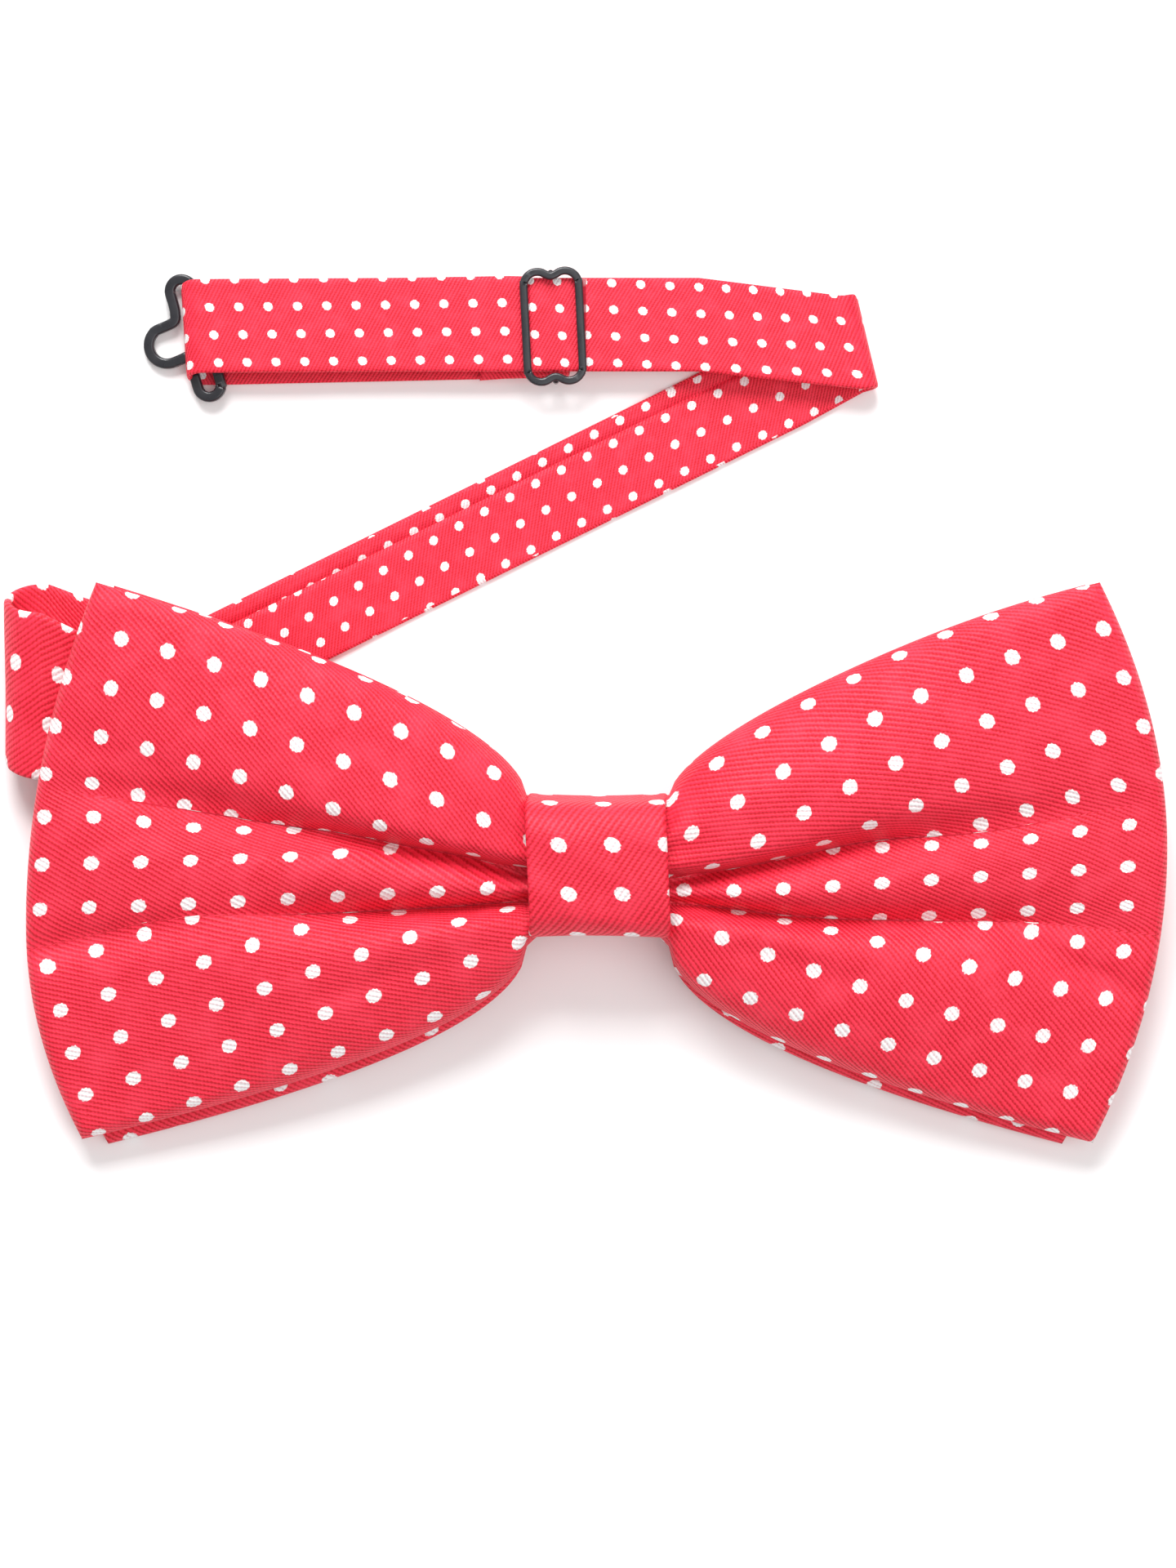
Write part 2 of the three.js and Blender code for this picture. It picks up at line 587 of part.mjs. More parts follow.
addMesh("eye_loop", band(eyeLoop.reverse(), STRAP_T), RED);

function eyeGeometry() {
  const half = EYE_HEIGHT / 2;
  const corner = 1.4;
  const reach = EYE_WIDTH;
  const points = [
    ...arc(corner, -half + corner, corner, 180, 270, 4),
    ...arc(reach - corner, -half + corner, corner, 270, 360, 4),
    ...arc(reach - corner, half - corner, corner, 0, 90, 4),
    ...arc(corner, half - corner, corner, 90, 180, 4),
  ];
  return wire(points, WIRE_W, EYE_T, true);
}
const eye = addMesh("eye", eyeGeometry(), BLACK, 0.6, 0.45);
eye.rotation.set(0, Math.asin((EYE_BAR_Z - EYE_T / 2) / EYE_WIDTH), Math.PI, "ZYX");
eye.position.set(EYE_X, 0, EYE_BAR_Z);

// Thread bars that hold the turned-back ends down
const TACK_HALF_LENGTH = 0.5;
const TACK_LIFT = 0.15; // between a thread bar and the cloth under it
function tackBar(name, x, y, clothTop) {
  const middle = { centre: vec(x, y, clothTop + TACK_LIFT + TACK_T / 2), half: vec(0, NARROW_W * 0.4, 0) };
  const ends = [moved(middle, left, TACK_HALF_LENGTH), moved(middle, right, TACK_HALF_LENGTH)];
  addMesh(name, band(ends, TACK_T), THREAD);
}
tackBar("slider_tail_tack", SLIDER_X - SLIDER_TAIL + 1, BAND_Y, 2 * STRAP_T + 2 * GAP);
tackBar("eye_loop_tack", eyeLoopRight - 0.8, 0, EYE_LOOP_Z + STRAP_T / 2);

// The origin is the middle of the bounding box, on the table.
const box = new THREE.Box3().setFromObject(object);
const middle = box.getCenter(new THREE.Vector3());
object.position.set(-middle.x, -middle.y, -box.min.z);

export default object;
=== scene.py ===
"""A pre-tied bow tie of red dotted twill, lying face up with its neck strap folded up behind it.

Lengths in this script are millimetres from the middle of the knot, as the strap lies on the table:
X along the bow, Y towards the neck strap, Z up. place() takes them to the row frame, in metres.
Cloth prints are in dot pitches: a dot sits at each whole number of the UV map "cloth".
"""

from math import asin, ceil, copysign, cos, exp, hypot, pi, radians, sin, sqrt

import bmesh
import bpy
import numpy as np
from mathutils import Matrix, Vector, noise


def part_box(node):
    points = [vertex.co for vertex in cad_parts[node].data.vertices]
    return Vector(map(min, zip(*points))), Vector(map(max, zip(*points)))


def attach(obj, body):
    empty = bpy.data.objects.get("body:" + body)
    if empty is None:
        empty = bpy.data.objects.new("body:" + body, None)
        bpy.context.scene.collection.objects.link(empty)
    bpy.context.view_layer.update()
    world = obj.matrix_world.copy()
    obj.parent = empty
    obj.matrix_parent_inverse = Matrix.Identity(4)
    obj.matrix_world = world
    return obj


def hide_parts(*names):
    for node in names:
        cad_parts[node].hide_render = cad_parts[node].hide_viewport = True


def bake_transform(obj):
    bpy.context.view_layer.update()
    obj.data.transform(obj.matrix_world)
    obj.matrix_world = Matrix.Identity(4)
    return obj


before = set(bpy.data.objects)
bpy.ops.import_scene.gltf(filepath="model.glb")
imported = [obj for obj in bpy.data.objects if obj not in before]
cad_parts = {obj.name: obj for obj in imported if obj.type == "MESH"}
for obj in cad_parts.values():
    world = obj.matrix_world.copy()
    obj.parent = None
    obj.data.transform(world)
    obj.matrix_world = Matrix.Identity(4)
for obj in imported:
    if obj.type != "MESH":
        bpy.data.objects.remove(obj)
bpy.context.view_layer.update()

# Place of the model in the row frame
MM = 0.001
knot_low, knot_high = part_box("knot_wrap")
tail_low, tail_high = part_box("tail_far_run")
TABLE_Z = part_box("wide_far_run")[0].z
ORIGIN = np.array([(knot_low.x + knot_high.x) / 2, (tail_low.y + tail_high.y) / 2, TABLE_Z])

# Sizes, close to the CAD model's
NARROW_W = 10.4
WIDE_W = 17.4
KNOT_LENGTH = 15.4  # along the bow
KNOT_WIDTH = 15.4
BEND_X = -61.8
NEAR_END_Y = 18.4
FAR_START_Y = 20.4
SEAM_X = -47.0
DIAGONAL = radians(26.3)
BAND_Y = 60.0
FOLD_X = 28.3
FOLD_DROP = 2.0
SLIDER_X = -4.8
HOOK_X = -43.2
HOOK_LEAN = radians(16.5)
HOOK_DIP = radians(7.5)
TAIL_REACH = 58.0
EYE_X = 22.0
RETURN_Z = 0.3
LOW_BAR_Z = 1.25
SLIDER_TAIL_Z = 2.2
BAND_Z = 3.1
FRAME_Z = 4.05
HOOK_BAR_Z = 1.45
EYE_BAR_Z = 1.35
EYE_LOOP_Z = 2.4
STRAP_UNDER_Z = -0.6
FRONT_Z = 2.6
BOW_Z = 5.0
REAR_REACH = 32.0  # from the knot's middle to the rear wings' lower edge, which rests on the table
BOW_TILT = asin(BOW_Z / REAR_REACH)
BOW_SHIFT = 0.75  # the leaning bow would be seen this much too low, so it's moved towards the strap


def array(values):
    return np.asarray(values, float)


def vec(x, y, z):
    return array([x, y, z])


def add_object(name, data):
    added = bpy.data.objects.new(name, data)
    bpy.context.scene.collection.objects.link(added)
    return added


def place(points):
    return ORIGIN + array(points) * MM


def tilted(points):
    """From the bow's own leaning plane to the table's axes."""
    p = array(points)
    c, s = cos(BOW_TILT), sin(BOW_TILT)
    y = p[..., 1] * c - p[..., 2] * s + BOW_SHIFT
    z = p[..., 1] * s + p[..., 2] * c + BOW_Z
    return np.stack([p[..., 0], y, z], axis=-1)


def smooth(low, high, value):
    t = np.clip((array(value) - low) / (high - low), 0, 1)
    return t * t * (3 - 2 * t)


def mix(a, b, t):
    return a + (b - a) * t


# Camera: straight above the table, far enough for a nearly flat view
CAMERA_HEIGHT = 700.0
CAMERA_XY = (-1.09, 9.09)
PIXELS_PER_MM = 11.0
LONG_SIDE = 1920
SENSOR = 36.0


def make_camera():
    data = bpy.data.cameras.new("camera")
    data.sensor_width = SENSOR
    data.lens = PIXELS_PER_MM * CAMERA_HEIGHT * SENSOR / LONG_SIDE
    data.clip_start = 0.01
    camera = add_object("camera", data)
    camera.location = place([*CAMERA_XY, CAMERA_HEIGHT])
    bpy.context.scene.camera = camera


make_camera()


# Materials

class Graph:
    """A material's nodes, added one call at a time."""

    def __init__(self, name):
        self.material = bpy.data.materials.new(name)
        self.material.use_nodes = True
        self.tree = self.material.node_tree
        self.shader = self.tree.nodes["Principled BSDF"]

    def node(self, kind):
        return self.tree.nodes.new("ShaderNode" + kind)

    def add(self, kind, *inputs, **settings):
        node = self.node(kind)
        for key, value in settings.items():
            setattr(node, key, value)
        for socket, value in zip(node.inputs, inputs):
            self.feed(socket, value)
        return node.outputs[0]

    def object_coordinates(self):
        return self.add("TexCoord").node.outputs["Object"]

    def feed(self, socket, value):
        if isinstance(value, bpy.types.NodeSocket):
            self.tree.links.new(value, socket)
        elif value is not None:
            socket.default_value = value

    def math(self, operation, *inputs):
        return self.add("Math", *inputs, operation=operation)

    def vector(self, operation, *inputs):
        node = self.add("VectorMath", *inputs, operation=operation).node
        return node.outputs["Value" if operation in ("LENGTH", "DOT_PRODUCT") else "Vector"]

    def noise(self, coordinates, scale, detail=2.0):
        node = self.node("TexNoise")
        self.feed(node.inputs["Vector"], coordinates)
        node.inputs["Scale"].default_value = scale
        node.inputs["Detail"].default_value = detail
        return node.outputs["Fac"]

    def ramp(self, value, low, high, start, end):
        return self.add("MapRange", value, low, high, start, end, interpolation_type="SMOOTHSTEP")

    def colours(self, factor, a, b):
        node = self.node("Mix")
        node.data_type = "RGBA"
        self.feed(node.inputs[0], factor)
        self.feed(node.inputs[6], a)
        self.feed(node.inputs[7], b)
        return node.outputs[2]

    def bump(self, height, distance, strength):
        node = self.node("Bump")
        node.inputs["Strength"].default_value = strength
        node.inputs["Distance"].default_value = distance
        self.feed(node.inputs["Height"], height)
        self.feed(self.shader.inputs["Normal"], node.outputs[0])

    def shade(self, **values):
        for key, value in values.items():
            self.feed(self.shader.inputs[key.replace("_", " ")], value)


RED = (0.90, 0.026, 0.064, 1)
# Painted shade: the red and the white dots are darker in the hollows between the twill's ribs.
RED_PAINTED_SHADE = (0.50, 0.003, 0.012, 1)
RED_LIFT = (0.98, 0.052, 0.100, 1)
DOT_WHITE = (0.90, 0.87, 0.87, 1)
DOT_PAINTED_SHADE = (0.74, 0.54, 0.56, 1)
BOW_PITCH = 5.4  # from dot to dot on the bow, in millimetres
RIB_WANDER = 3.2  # how far the ribs stray, in radians of their wave
STEP_RATE = 1.25  # steps along a rib for each rib across
STEP_HEIGHT = 0.28
FIBRE_HEIGHT = 0.35
DOT_EDGE = 0.012  # half the width of a dot's soft edge
TWILL_RELIEF = 0.075 * MM


def twill(name, rib_angle, rib_pitch, dot_radius, pitch_mm):
    """Printed twill. Angle, rib pitch and dot radius are in the print's own axes and pitches.

    pitch_mm is the print's real pitch, and the ribs' relief goes with it.
    """
    g = Graph(name)
    node = g.node("UVMap")
    node.uv_map = "cloth"
    uv = node.outputs[0]
    angle = radians(rib_angle)
    turns = 2 * pi / rib_pitch
    drift = g.noise(uv, 1.3, 3.0)
    wander = g.noise(uv, 14.0)
    across = g.vector("DOT_PRODUCT", uv, (-sin(angle) * turns, cos(angle) * turns, 0))
    steps = turns * STEP_RATE
    along = g.vector("DOT_PRODUCT", uv, (cos(angle) * steps, sin(angle) * steps, 0))
    phase = g.math("MULTIPLY_ADD", wander, RIB_WANDER, across)
    rib = g.math("MULTIPLY_ADD", g.math("SINE", phase), 0.5, 0.5)
    stagger = g.math("MULTIPLY_ADD", phase, 0.5, along)
    step = g.math("MULTIPLY_ADD", g.math("SINE", stagger), 0.5, 0.5)
    fibre = g.noise(uv, 90.0)
    height = g.math("MULTIPLY_ADD", step, STEP_HEIGHT, rib)
    height = g.math("MULTIPLY_ADD", fibre, FIBRE_HEIGHT, height)

    half_cell = (0.5, 0.5, 0.0)
    cell = g.vector("SUBTRACT", g.vector("FRACTION", g.vector("ADD", uv, half_cell)), half_cell)
    distance = g.vector("LENGTH", g.vector("MULTIPLY", cell, (1.0, 1.0, 0.0)))
    ragged = g.math("MULTIPLY_ADD", g.math("SUBTRACT", g.noise(uv, 16.0), 0.5), 0.05, distance)
    ragged = g.math("MULTIPLY_ADD", g.math("SUBTRACT", step, 0.5), 0.014, ragged)
    dot = g.ramp(ragged, dot_radius - DOT_EDGE, dot_radius + DOT_EDGE, 1.0, 0.0)

    # Painted shade: the low parts of the weave, the hollows between its ribs, get the darker red and the
    # greyer dot colour.
    groove = g.ramp(height, 0.15, 1.15, 0.0, 1.0)
    red = g.colours(groove, RED_PAINTED_SHADE, RED)
    red = g.colours(g.ramp(drift, 0.42, 0.75, 0.0, 0.35), red, RED_LIFT)
    white = g.colours(g.ramp(height, 0.2, 0.9, 0.0, 1.0), DOT_PAINTED_SHADE, DOT_WHITE)
    g.shade(Base_Color=g.colours(dot, red, white))
    g.shade(Roughness=g.ramp(height, 0.2, 1.2, 0.66, 0.46))
    g.shade(Specular_IOR_Level=0.32, Sheen_Weight=0.07, Sheen_Roughness=0.4)
    g.shader.inputs["Sheen Tint"].default_value = (1.0, 0.3, 0.35, 1)
    g.bump(height, TWILL_RELIEF * pitch_mm / BOW_PITCH, 0.75)
    return g.material


LINING_PITCH = 0.5 * MM
THREAD_PITCH = 0.28 * MM


def woven_lining():
    g = Graph("interlining_cloth")
    coordinates = g.object_coordinates()
    turns = 2 * pi / LINING_PITCH
    warp = g.math("SINE", g.vector("DOT_PRODUCT", coordinates, (turns, 0, 0)))
    weft = g.math("SINE", g.vector("DOT_PRODUCT", coordinates, (0, turns, 0)))
    weave = g.math("MULTIPLY", warp, weft)
    # Painted shade: the weave is darker where its threads dip, in the hollows of its bump.
    shade = g.ramp(weave, -0.9, 0.9, 0.0, 1.0)
    g.shade(Base_Color=g.colours(shade, (0.66, 0.63, 0.56, 1), (0.86, 0.84, 0.78, 1)), Roughness=0.9)
    g.bump(weave, 0.08 * MM, 0.6)
    return g.material


def sewing_thread():
    g = Graph("red_thread")
    coordinates = g.object_coordinates()
    turns = 2 * pi / THREAD_PITCH
    twist = g.math("SINE", g.vector("DOT_PRODUCT", coordinates, (turns, 0.7 * turns, 0.4 * turns)))
    # Painted shade: the thread is darker in the grooves of its twist, where its bump is low.
    shade = g.ramp(twist, -1.0, 1.0, 0.0, 1.0)
    g.shade(Base_Color=g.colours(shade, (0.42, 0.006, 0.02, 1), (0.82, 0.03, 0.07, 1)), Roughness=0.5)
    g.shade(Sheen_Weight=0.2)
    g.bump(twist, 0.04 * MM, 0.7)
    return g.material


def black_coating():
    g = Graph("satin_black_coating")
    coordinates = g.object_coordinates()
    grain = g.noise(coordinates, 9000.0, 3.0)
    cloud = g.noise(coordinates, 500.0, 3.0)
    geometry = g.node("NewGeometry")
    # Lighter on the wire's sharp edges: partly wear of the coating, partly a painted highlight.
    edge = g.ramp(geometry.outputs["Pointiness"], 0.53, 0.62, 0.0, 0.5)
    base = g.colours(cloud, (0.012, 0.012, 0.016, 1), (0.022, 0.022, 0.027, 1))
    g.shade(Base_Color=g.colours(edge, base, (0.085, 0.083, 0.088, 1)))
    g.shade(Roughness=g.ramp(cloud, 0.3, 0.7, 0.26, 0.38), Specular_IOR_Level=0.55, Metallic=0.1)
    g.bump(grain, 0.02 * MM, 0.35)
    return g.material


BOW_TWILL = twill("bow_twill", -33, 0.1, 0.152, BOW_PITCH)
KNOT_TWILL = twill("knot_twill", 50, 0.1, 0.15, 5.6)
LOOP_TWILL = twill("wide_strap_twill", -40, 0.105, 0.155, 5.0)
BAND_TWILL = twill("narrow_strap_twill", 58, 0.115, 0.158, 3.23)
LINING = woven_lining()
THREAD = sewing_thread()
BLACK = black_coating()


# Meshes

def make_piece(name, points, faces, material, corner_uv=None):
    """A smooth mesh from points in millimetres; corner_uv has one pair for each corner of each face."""
    mesh = bpy.data.meshes.new(name)
    mesh.from_pydata([tuple(p) for p in place(points)], [], faces)
    if corner_uv is not None:
        layer = mesh.uv_layers.new(name="cloth")
        layer.data.foreach_set("uv", np.asarray(corner_uv, np.float32).ravel())
    mesh.polygons.foreach_set("use_smooth", [True] * len(mesh.polygons))
    mesh.materials.append(material)
    mesh.validate()
    piece = add_object(name, mesh)
    return piece


def unit(v):
    v = array(v)
    return v / np.maximum(np.linalg.norm(v, axis=-1, keepdims=True), 1e-12)


def lattice(origin, pitch_u, angle_u, pitch_w, angle_w):
    """A print that has a dot at origin: the rows run at angle_u and the columns at angle_w off upright."""
    a, b = radians(angle_u), radians(angle_w + 90)
    basis = np.array([[pitch_u * cos(a), pitch_w * cos(b)],
                      [pitch_u * sin(a), pitch_w * sin(b)]])
    inverse = np.linalg.inv(basis)

    def at(x, y):
        d = np.stack([array(x) - origin[0], array(y) - origin[1]], axis=-1)
        return d @ inverse.T

    return at


# Straps: folded bands of cloth with soft edges

EDGE_STEPS = 4
FACE_COLUMNS = 24
GROOVE_DEPTH = 0.26
GROOVE_WIDTH = 0.22
LAP_RISE = 0.1  # beyond its lapped seam the band is this much thicker
WIDE_T = 0.8
BAND_T = 0.62
BACK_T = 0.6


def groove(distance):
    return GROOVE_DEPTH * exp(-(distance / GROOVE_WIDTH) ** 2)


def section(thickness, half, groove_at=None):
    """Points (across, up, side) round a band's section; side 1 is its back, -1 its face."""
    r = thickness / 2
    flat = half - r
    columns = list(np.linspace(-flat, flat, FACE_COLUMNS + 1))
    points = []
    for a in columns:
        sink = 0.0
        if groove_at is not None:
            sink = groove(a - groove_at) - LAP_RISE * float(smooth(0, 0.3, a - groove_at))
        points.append((a, r - sink, 1))
    if groove_at is not None:
        extra = [(groove_at + d, r - groove(d), 1) for d in (-0.2, 0.0, 0.0001, 0.2)]
        points = sorted(points + extra)
    angles = [pi / 2 - pi * k / EDGE_STEPS for k in range(1, EDGE_STEPS)]
    points += [(flat + r * cos(a), r * sin(a), -1) for a in angles]
    points += [(a, -r, -1) for a in reversed(columns)]
    return points + [(-flat - r * cos(a), -r * sin(a), -1) for a in angles]


def refine(stations, step=0.7):
    """Evenly close stations through the given ones; a station is (centre, half vector)."""
    centres = np.array([s[0] for s in stations])
    halves = np.array([s[1] for s in stations])
    lengths = np.concatenate([[0], np.cumsum(np.linalg.norm(np.diff(centres, axis=0), axis=1))])
    count = max(2, int(ceil(lengths[-1] / step)) + 1)
    at = np.linspace(0, lengths[-1], count)
    new_centres = np.stack([np.interp(at, lengths, centres[:, k]) for k in range(3)], axis=1)
    new_halves = np.stack([np.interp(at, lengths, halves[:, k]) for k in range(3)], axis=1)
    return new_centres, new_halves, at


def strap(name, stations, thickness, prints, material, seam=None, ripple=0.0, step=0.7):
    """A band swept through its stations, with a groove at seam, where it has one.

    prints(s, t, side, centre, middle) gives the print's coordinates at s along and t across the band.
    centre is the band's middle there, and middle is how far across the face's own middle is.
    """
    centres, halves, along = refine(stations, step)
    tangents = unit(np.gradient(centres, axis=0))
    normals = unit(np.cross(tangents, halves))
    half = np.linalg.norm(halves, axis=1)
    across = unit(halves)
    mean = half.mean()
    ring = section(thickness, mean, seam)
    count = len(ring)
    points = []
    for i in range(len(centres)):
        for a, b, side in ring:
            wave = ripple * noise.noise(Vector((along[i] * 0.11, a * 0.13, 3.7)))
            points.append(centres[i] + across[i] * (a * half[i] / mean) + normals[i] * (b + wave))
    faces, uv = [], []
    for i in range(len(centres) - 1):
        for k in range(count):
            n = (k + 1) % count
            corners = ((i, k), (i, n), (i + 1, n), (i + 1, k))
            side = 1 if ring[k][2] == 1 and ring[n][2] == 1 else -1
            middle = (ring[k][0] + ring[n][0]) / 2
            faces.append([a * count + b for a, b in corners][::-1])
            for a, b in reversed(corners):
                uv.append(prints(along[a], ring[b][0], side, centres[a], middle))
    for i, order in ((0, 1), (len(centres) - 1, -1)):
        faces.append([i * count + k for k in range(count)][::order])
        uv += [(0.5, 0.5)] * count
    piece = make_piece(name, points, faces, material, uv)
    return piece


def station(centre, half):
    return (array(centre), array(half))


def turn(start, end, outward, steps=16):
    """Stations round a half turn from one station to another."""
    radius = np.linalg.norm(end[0] - start[0]) / 2
    result = []
    for i in range(steps + 1):
        angle = pi * i / steps
        share = (1 - cos(angle)) / 2
        centre = mix(start[0], end[0], share) + array(outward) * radius * sin(angle)
        result.append(station(centre, mix(start[1], end[1], share)))
    return result


def line(start, end, steps=8):
    return [station(mix(start[0], end[0], i / steps), mix(start[1], end[1], i / steps))
            for i in range(steps + 1)]


# Wide band: from the knot along the back of the left wing, round the bend and on under the bow

def wide_near_station(x):
    share = max(0.0, (x + KNOT_LENGTH / 2) / (BEND_X + KNOT_LENGTH / 2))
    y = NEAR_END_Y * share ** 1.5
    pinched = KNOT_WIDTH / 2 - 2.2
    half = mix(pinched, WIDE_W / 2 + 0.6, min(1.0, 2.4 * share))
    centre = tilted(vec(x, y, STRAP_UNDER_Z))
    return station(centre, tilted(vec(x, y + half, STRAP_UNDER_Z)) - centre)


diagonal = vec(cos(DIAGONAL), sin(DIAGONAL), 0)
diagonal_half = vec(-diagonal[1], diagonal[0], 0) * NARROW_W / 2
fold_point = vec(FOLD_X, BAND_Y - FOLD_DROP, RETURN_Z)
seam_point = fold_point + diagonal * (SEAM_X - FOLD_X) / diagonal[0]
LOOP_X = BEND_X + 0.5  # where the bend's half turn starts
SEAM_SHARE = 0.84  # the wide band narrows to this share of its width at the cross seam
far_start = station(vec(LOOP_X, FAR_START_Y + 1.9, RETURN_Z), vec(0, WIDE_W / 2 + 0.4, 0))
near_run = [wide_near_station(x) for x in np.linspace(-0.15, LOOP_X, 30)]
wide_end = station(seam_point - diagonal * 0.1, diagonal_half / NARROW_W * WIDE_W * SEAM_SHARE)
wide_path = near_run + turn(near_run[-1], far_start, (-1, 0, 0))[1:] + line(far_start, wide_end)[1:]
WIDE_PITCH = 5.0
WIDE_ROWS = 5.5
WIDE_SKEW = 0.245  # each row starts this share of a pitch further on
BEND_START = float(np.linalg.norm(np.diff([c for c, _ in near_run], axis=0), axis=1).sum())


def wide_prints(s, t, *_):
    row = (t + 2.5) / WIDE_ROWS
    return ((s - BEND_START + 0.9) / WIDE_PITCH + WIDE_SKEW * row, row)


wide_band = strap("wide_band", wide_path, WIDE_T, wide_prints, LOOP_TWILL, ripple=0.25)
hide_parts("wide_near_run", "left_bend", "wide_far_run")
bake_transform(wide_band)

# Narrow band: the diagonal run, the right fold and the run over it as far as the slider

crease_angle = (pi + DIAGONAL) / 2
crease_half = vec(cos(crease_angle), sin(crease_angle), 0) * NARROW_W / 2 / sin(crease_angle)
out_from_fold = vec(sin(crease_angle), -cos(crease_angle), 0)
sag = vec(diagonal[1], -diagonal[0], 0) * 0.45  # the diagonal run hangs a little below its straight line
fold_low = station(fold_point + sag * 0.3, crease_half)
fold_high = station(vec(FOLD_X, BAND_Y - FOLD_DROP, BAND_Z), crease_half)
band_half = vec(0, NARROW_W / 2, 0)
BAND_JOIN_X = SLIDER_X - 3.1  # two lengths of the band meet under the slider's left bar


def level(x, y, z):
    """A station of the narrow band where it runs straight along X."""
    return station(vec(x, y, z), band_half)


near_fold = station(fold_point - diagonal * 8 + sag, mix(diagonal_half, crease_half, 0.6))
past_fold = level(11.2, BAND_Y, BAND_Z)
diagonal_run = line(station(seam_point + sag, diagonal_half), near_fold, 20)
over_run = line(fold_high, past_fold, 10) + line(past_fold, level(BAND_JOIN_X, BAND_Y, BAND_Z), 6)[1:]
narrow_path = diagonal_run + turn(fold_low, fold_high, out_from_fold) + over_run[1:]
DIAGONAL_LENGTH = float(np.linalg.norm(fold_point - seam_point))
TURN_LENGTH = pi * (BAND_Z - RETURN_Z) / 2
LAP_SEAM = 3.15
NARROW_PITCH = 3.22
NARROW_ROWS = 3.14
# The print on the band's back: where it starts before the fold, how its rows slope on the lap, and how
# they bend on the rest
PRINT_SHIFT = 0.45
LAP_START = 62.8
LAP_ROW = 3.48
LAP_SLOPE = 0.036
BACK_START = 35.4
BACK_ROW = 1.9
BACK_BEND = 0.0014
BACK_MIDDLE = 27
over_print = lattice((14.53, 61.03), 3.227, -2.7, 2.98, 4.35)
window_print = lattice((-4.35, 61.78), 3.04, -2.4, 3.04, 5.4)
WINDOW_EDGE_X = SLIDER_X + 3.1  # under the slider's right bar


def narrow_prints(s, t, side, centre, middle):
    if side < 0:
        x = FOLD_X - (s - DIAGONAL_LENGTH - TURN_LENGTH)
        in_window = centre[0] < WINDOW_EDGE_X and s > DIAGONAL_LENGTH
        return tuple((window_print if in_window else over_print)(x, centre[1] + t))
    back = s - DIAGONAL_LENGTH
    if middle > LAP_SEAM:
        past = back + LAP_START
        return (past / NARROW_PITCH, (t + PRINT_SHIFT - LAP_ROW - LAP_SLOPE * past) / NARROW_ROWS)
    row = BACK_ROW - BACK_BEND * (back + BACK_MIDDLE) ** 2
    return ((back + BACK_START) / NARROW_PITCH, (t - PRINT_SHIFT - row) / NARROW_ROWS)


narrow_band = strap("narrow_band", narrow_path, BAND_T, narrow_prints, BAND_TWILL,
                    seam=LAP_SEAM, ripple=0.12, step=0.6)
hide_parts("diagonal_run", "right_fold", "adjuster_run")
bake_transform(narrow_band)

# Front band: from the slider to the hook's bar and round it

LOOP_LEFT_X = HOOK_X - 1.0  # where the loop's turn begins
RETURN_DROP = 1.3  # the return run lies this much lower on the table than the front run
RETURN_JOIN_X = HOOK_X + 1.5
loop_lean = vec(-0.35, 0, 0)
loop_high = station(vec(LOOP_LEFT_X, BAND_Y - 0.15, BAND_Z), band_half + loop_lean)
loop_low = station(vec(LOOP_LEFT_X + 0.1, BAND_Y - RETURN_DROP, RETURN_Z), band_half + loop_lean)
front_wide = station(vec(BAND_JOIN_X - 2, BAND_Y + 0.1, BAND_Z), band_half * 1.02)
front_even = level(BAND_JOIN_X - 14, BAND_Y, BAND_Z)
return_start = level(RETURN_JOIN_X, BAND_Y - RETURN_DROP, RETURN_Z)
front_path = line(station(vec(BAND_JOIN_X, BAND_Y + 0.1, BAND_Z), band_half * 1.01), front_wide, 3)
front_path += line(front_wide, front_even, 5)[1:] + line(front_even, loop_high, 12)[1:]
front_path += turn(loop_high, loop_low, (-1, 0, 0))[1:] + line(loop_low, return_start, 3)[1:]
front_print = lattice((-26.44, 59.07), 3.229, 0.4, 3.1, 5.7)


def front_prints(s, t, *_):
    return tuple(front_print(BAND_JOIN_X - s, BAND_Y + t))


front_band = strap("front_band", front_path, BAND_T, front_prints, BAND_TWILL, ripple=0.12, step=0.5)
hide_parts("front_run", "hook_loop")
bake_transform(front_band)

# Return band: under the front band to the slider's middle bar, round it and back to its sewn end

TAIL_CUT_X = SLIDER_X - 8.3
return_end = level(SLIDER_X + 0.45, BAND_Y - 0.5, RETURN_Z)
tail_top = level(SLIDER_X + 0.45, BAND_Y - 0.3, SLIDER_TAIL_Z)
return_path = line(return_start, return_end, 12) + turn(return_end, tail_top, (1, 0, 0))[1:]
return_path += line(tail_top, level(TAIL_CUT_X, BAND_Y - 0.9, 1.3), 6)[1:]
return_print = lattice((0.3, 0.2), 3.23, 0, 3.1, 0)


def return_prints(s, t, *_):
    return tuple(return_print(s, t))


return_band = strap("return_band", return_path, BACK_T, return_prints, BAND_TWILL, step=0.5)
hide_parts("return_run", "slider_loop")
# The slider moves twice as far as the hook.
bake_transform(return_band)

# Tail: behind the right wing, folded back under itself to the eye

EYE_TAB = 3.4  # from the eye's bar to where its loop of band starts and ends
tail_high_z = float(tilted(vec(0, 0, STRAP_UNDER_Z))[2])


def tail_station(x, leaning):
    half = NARROW_W / 2 - 0.1
    if leaning:
        lean = vec(0, cos(BOW_TILT), sin(BOW_TILT))
        return station(vec(x, BOW_SHIFT, tail_high_z), lean * half)
    return station(vec(x, BOW_SHIFT * 0.5, RETURN_Z), vec(0, half, 0))


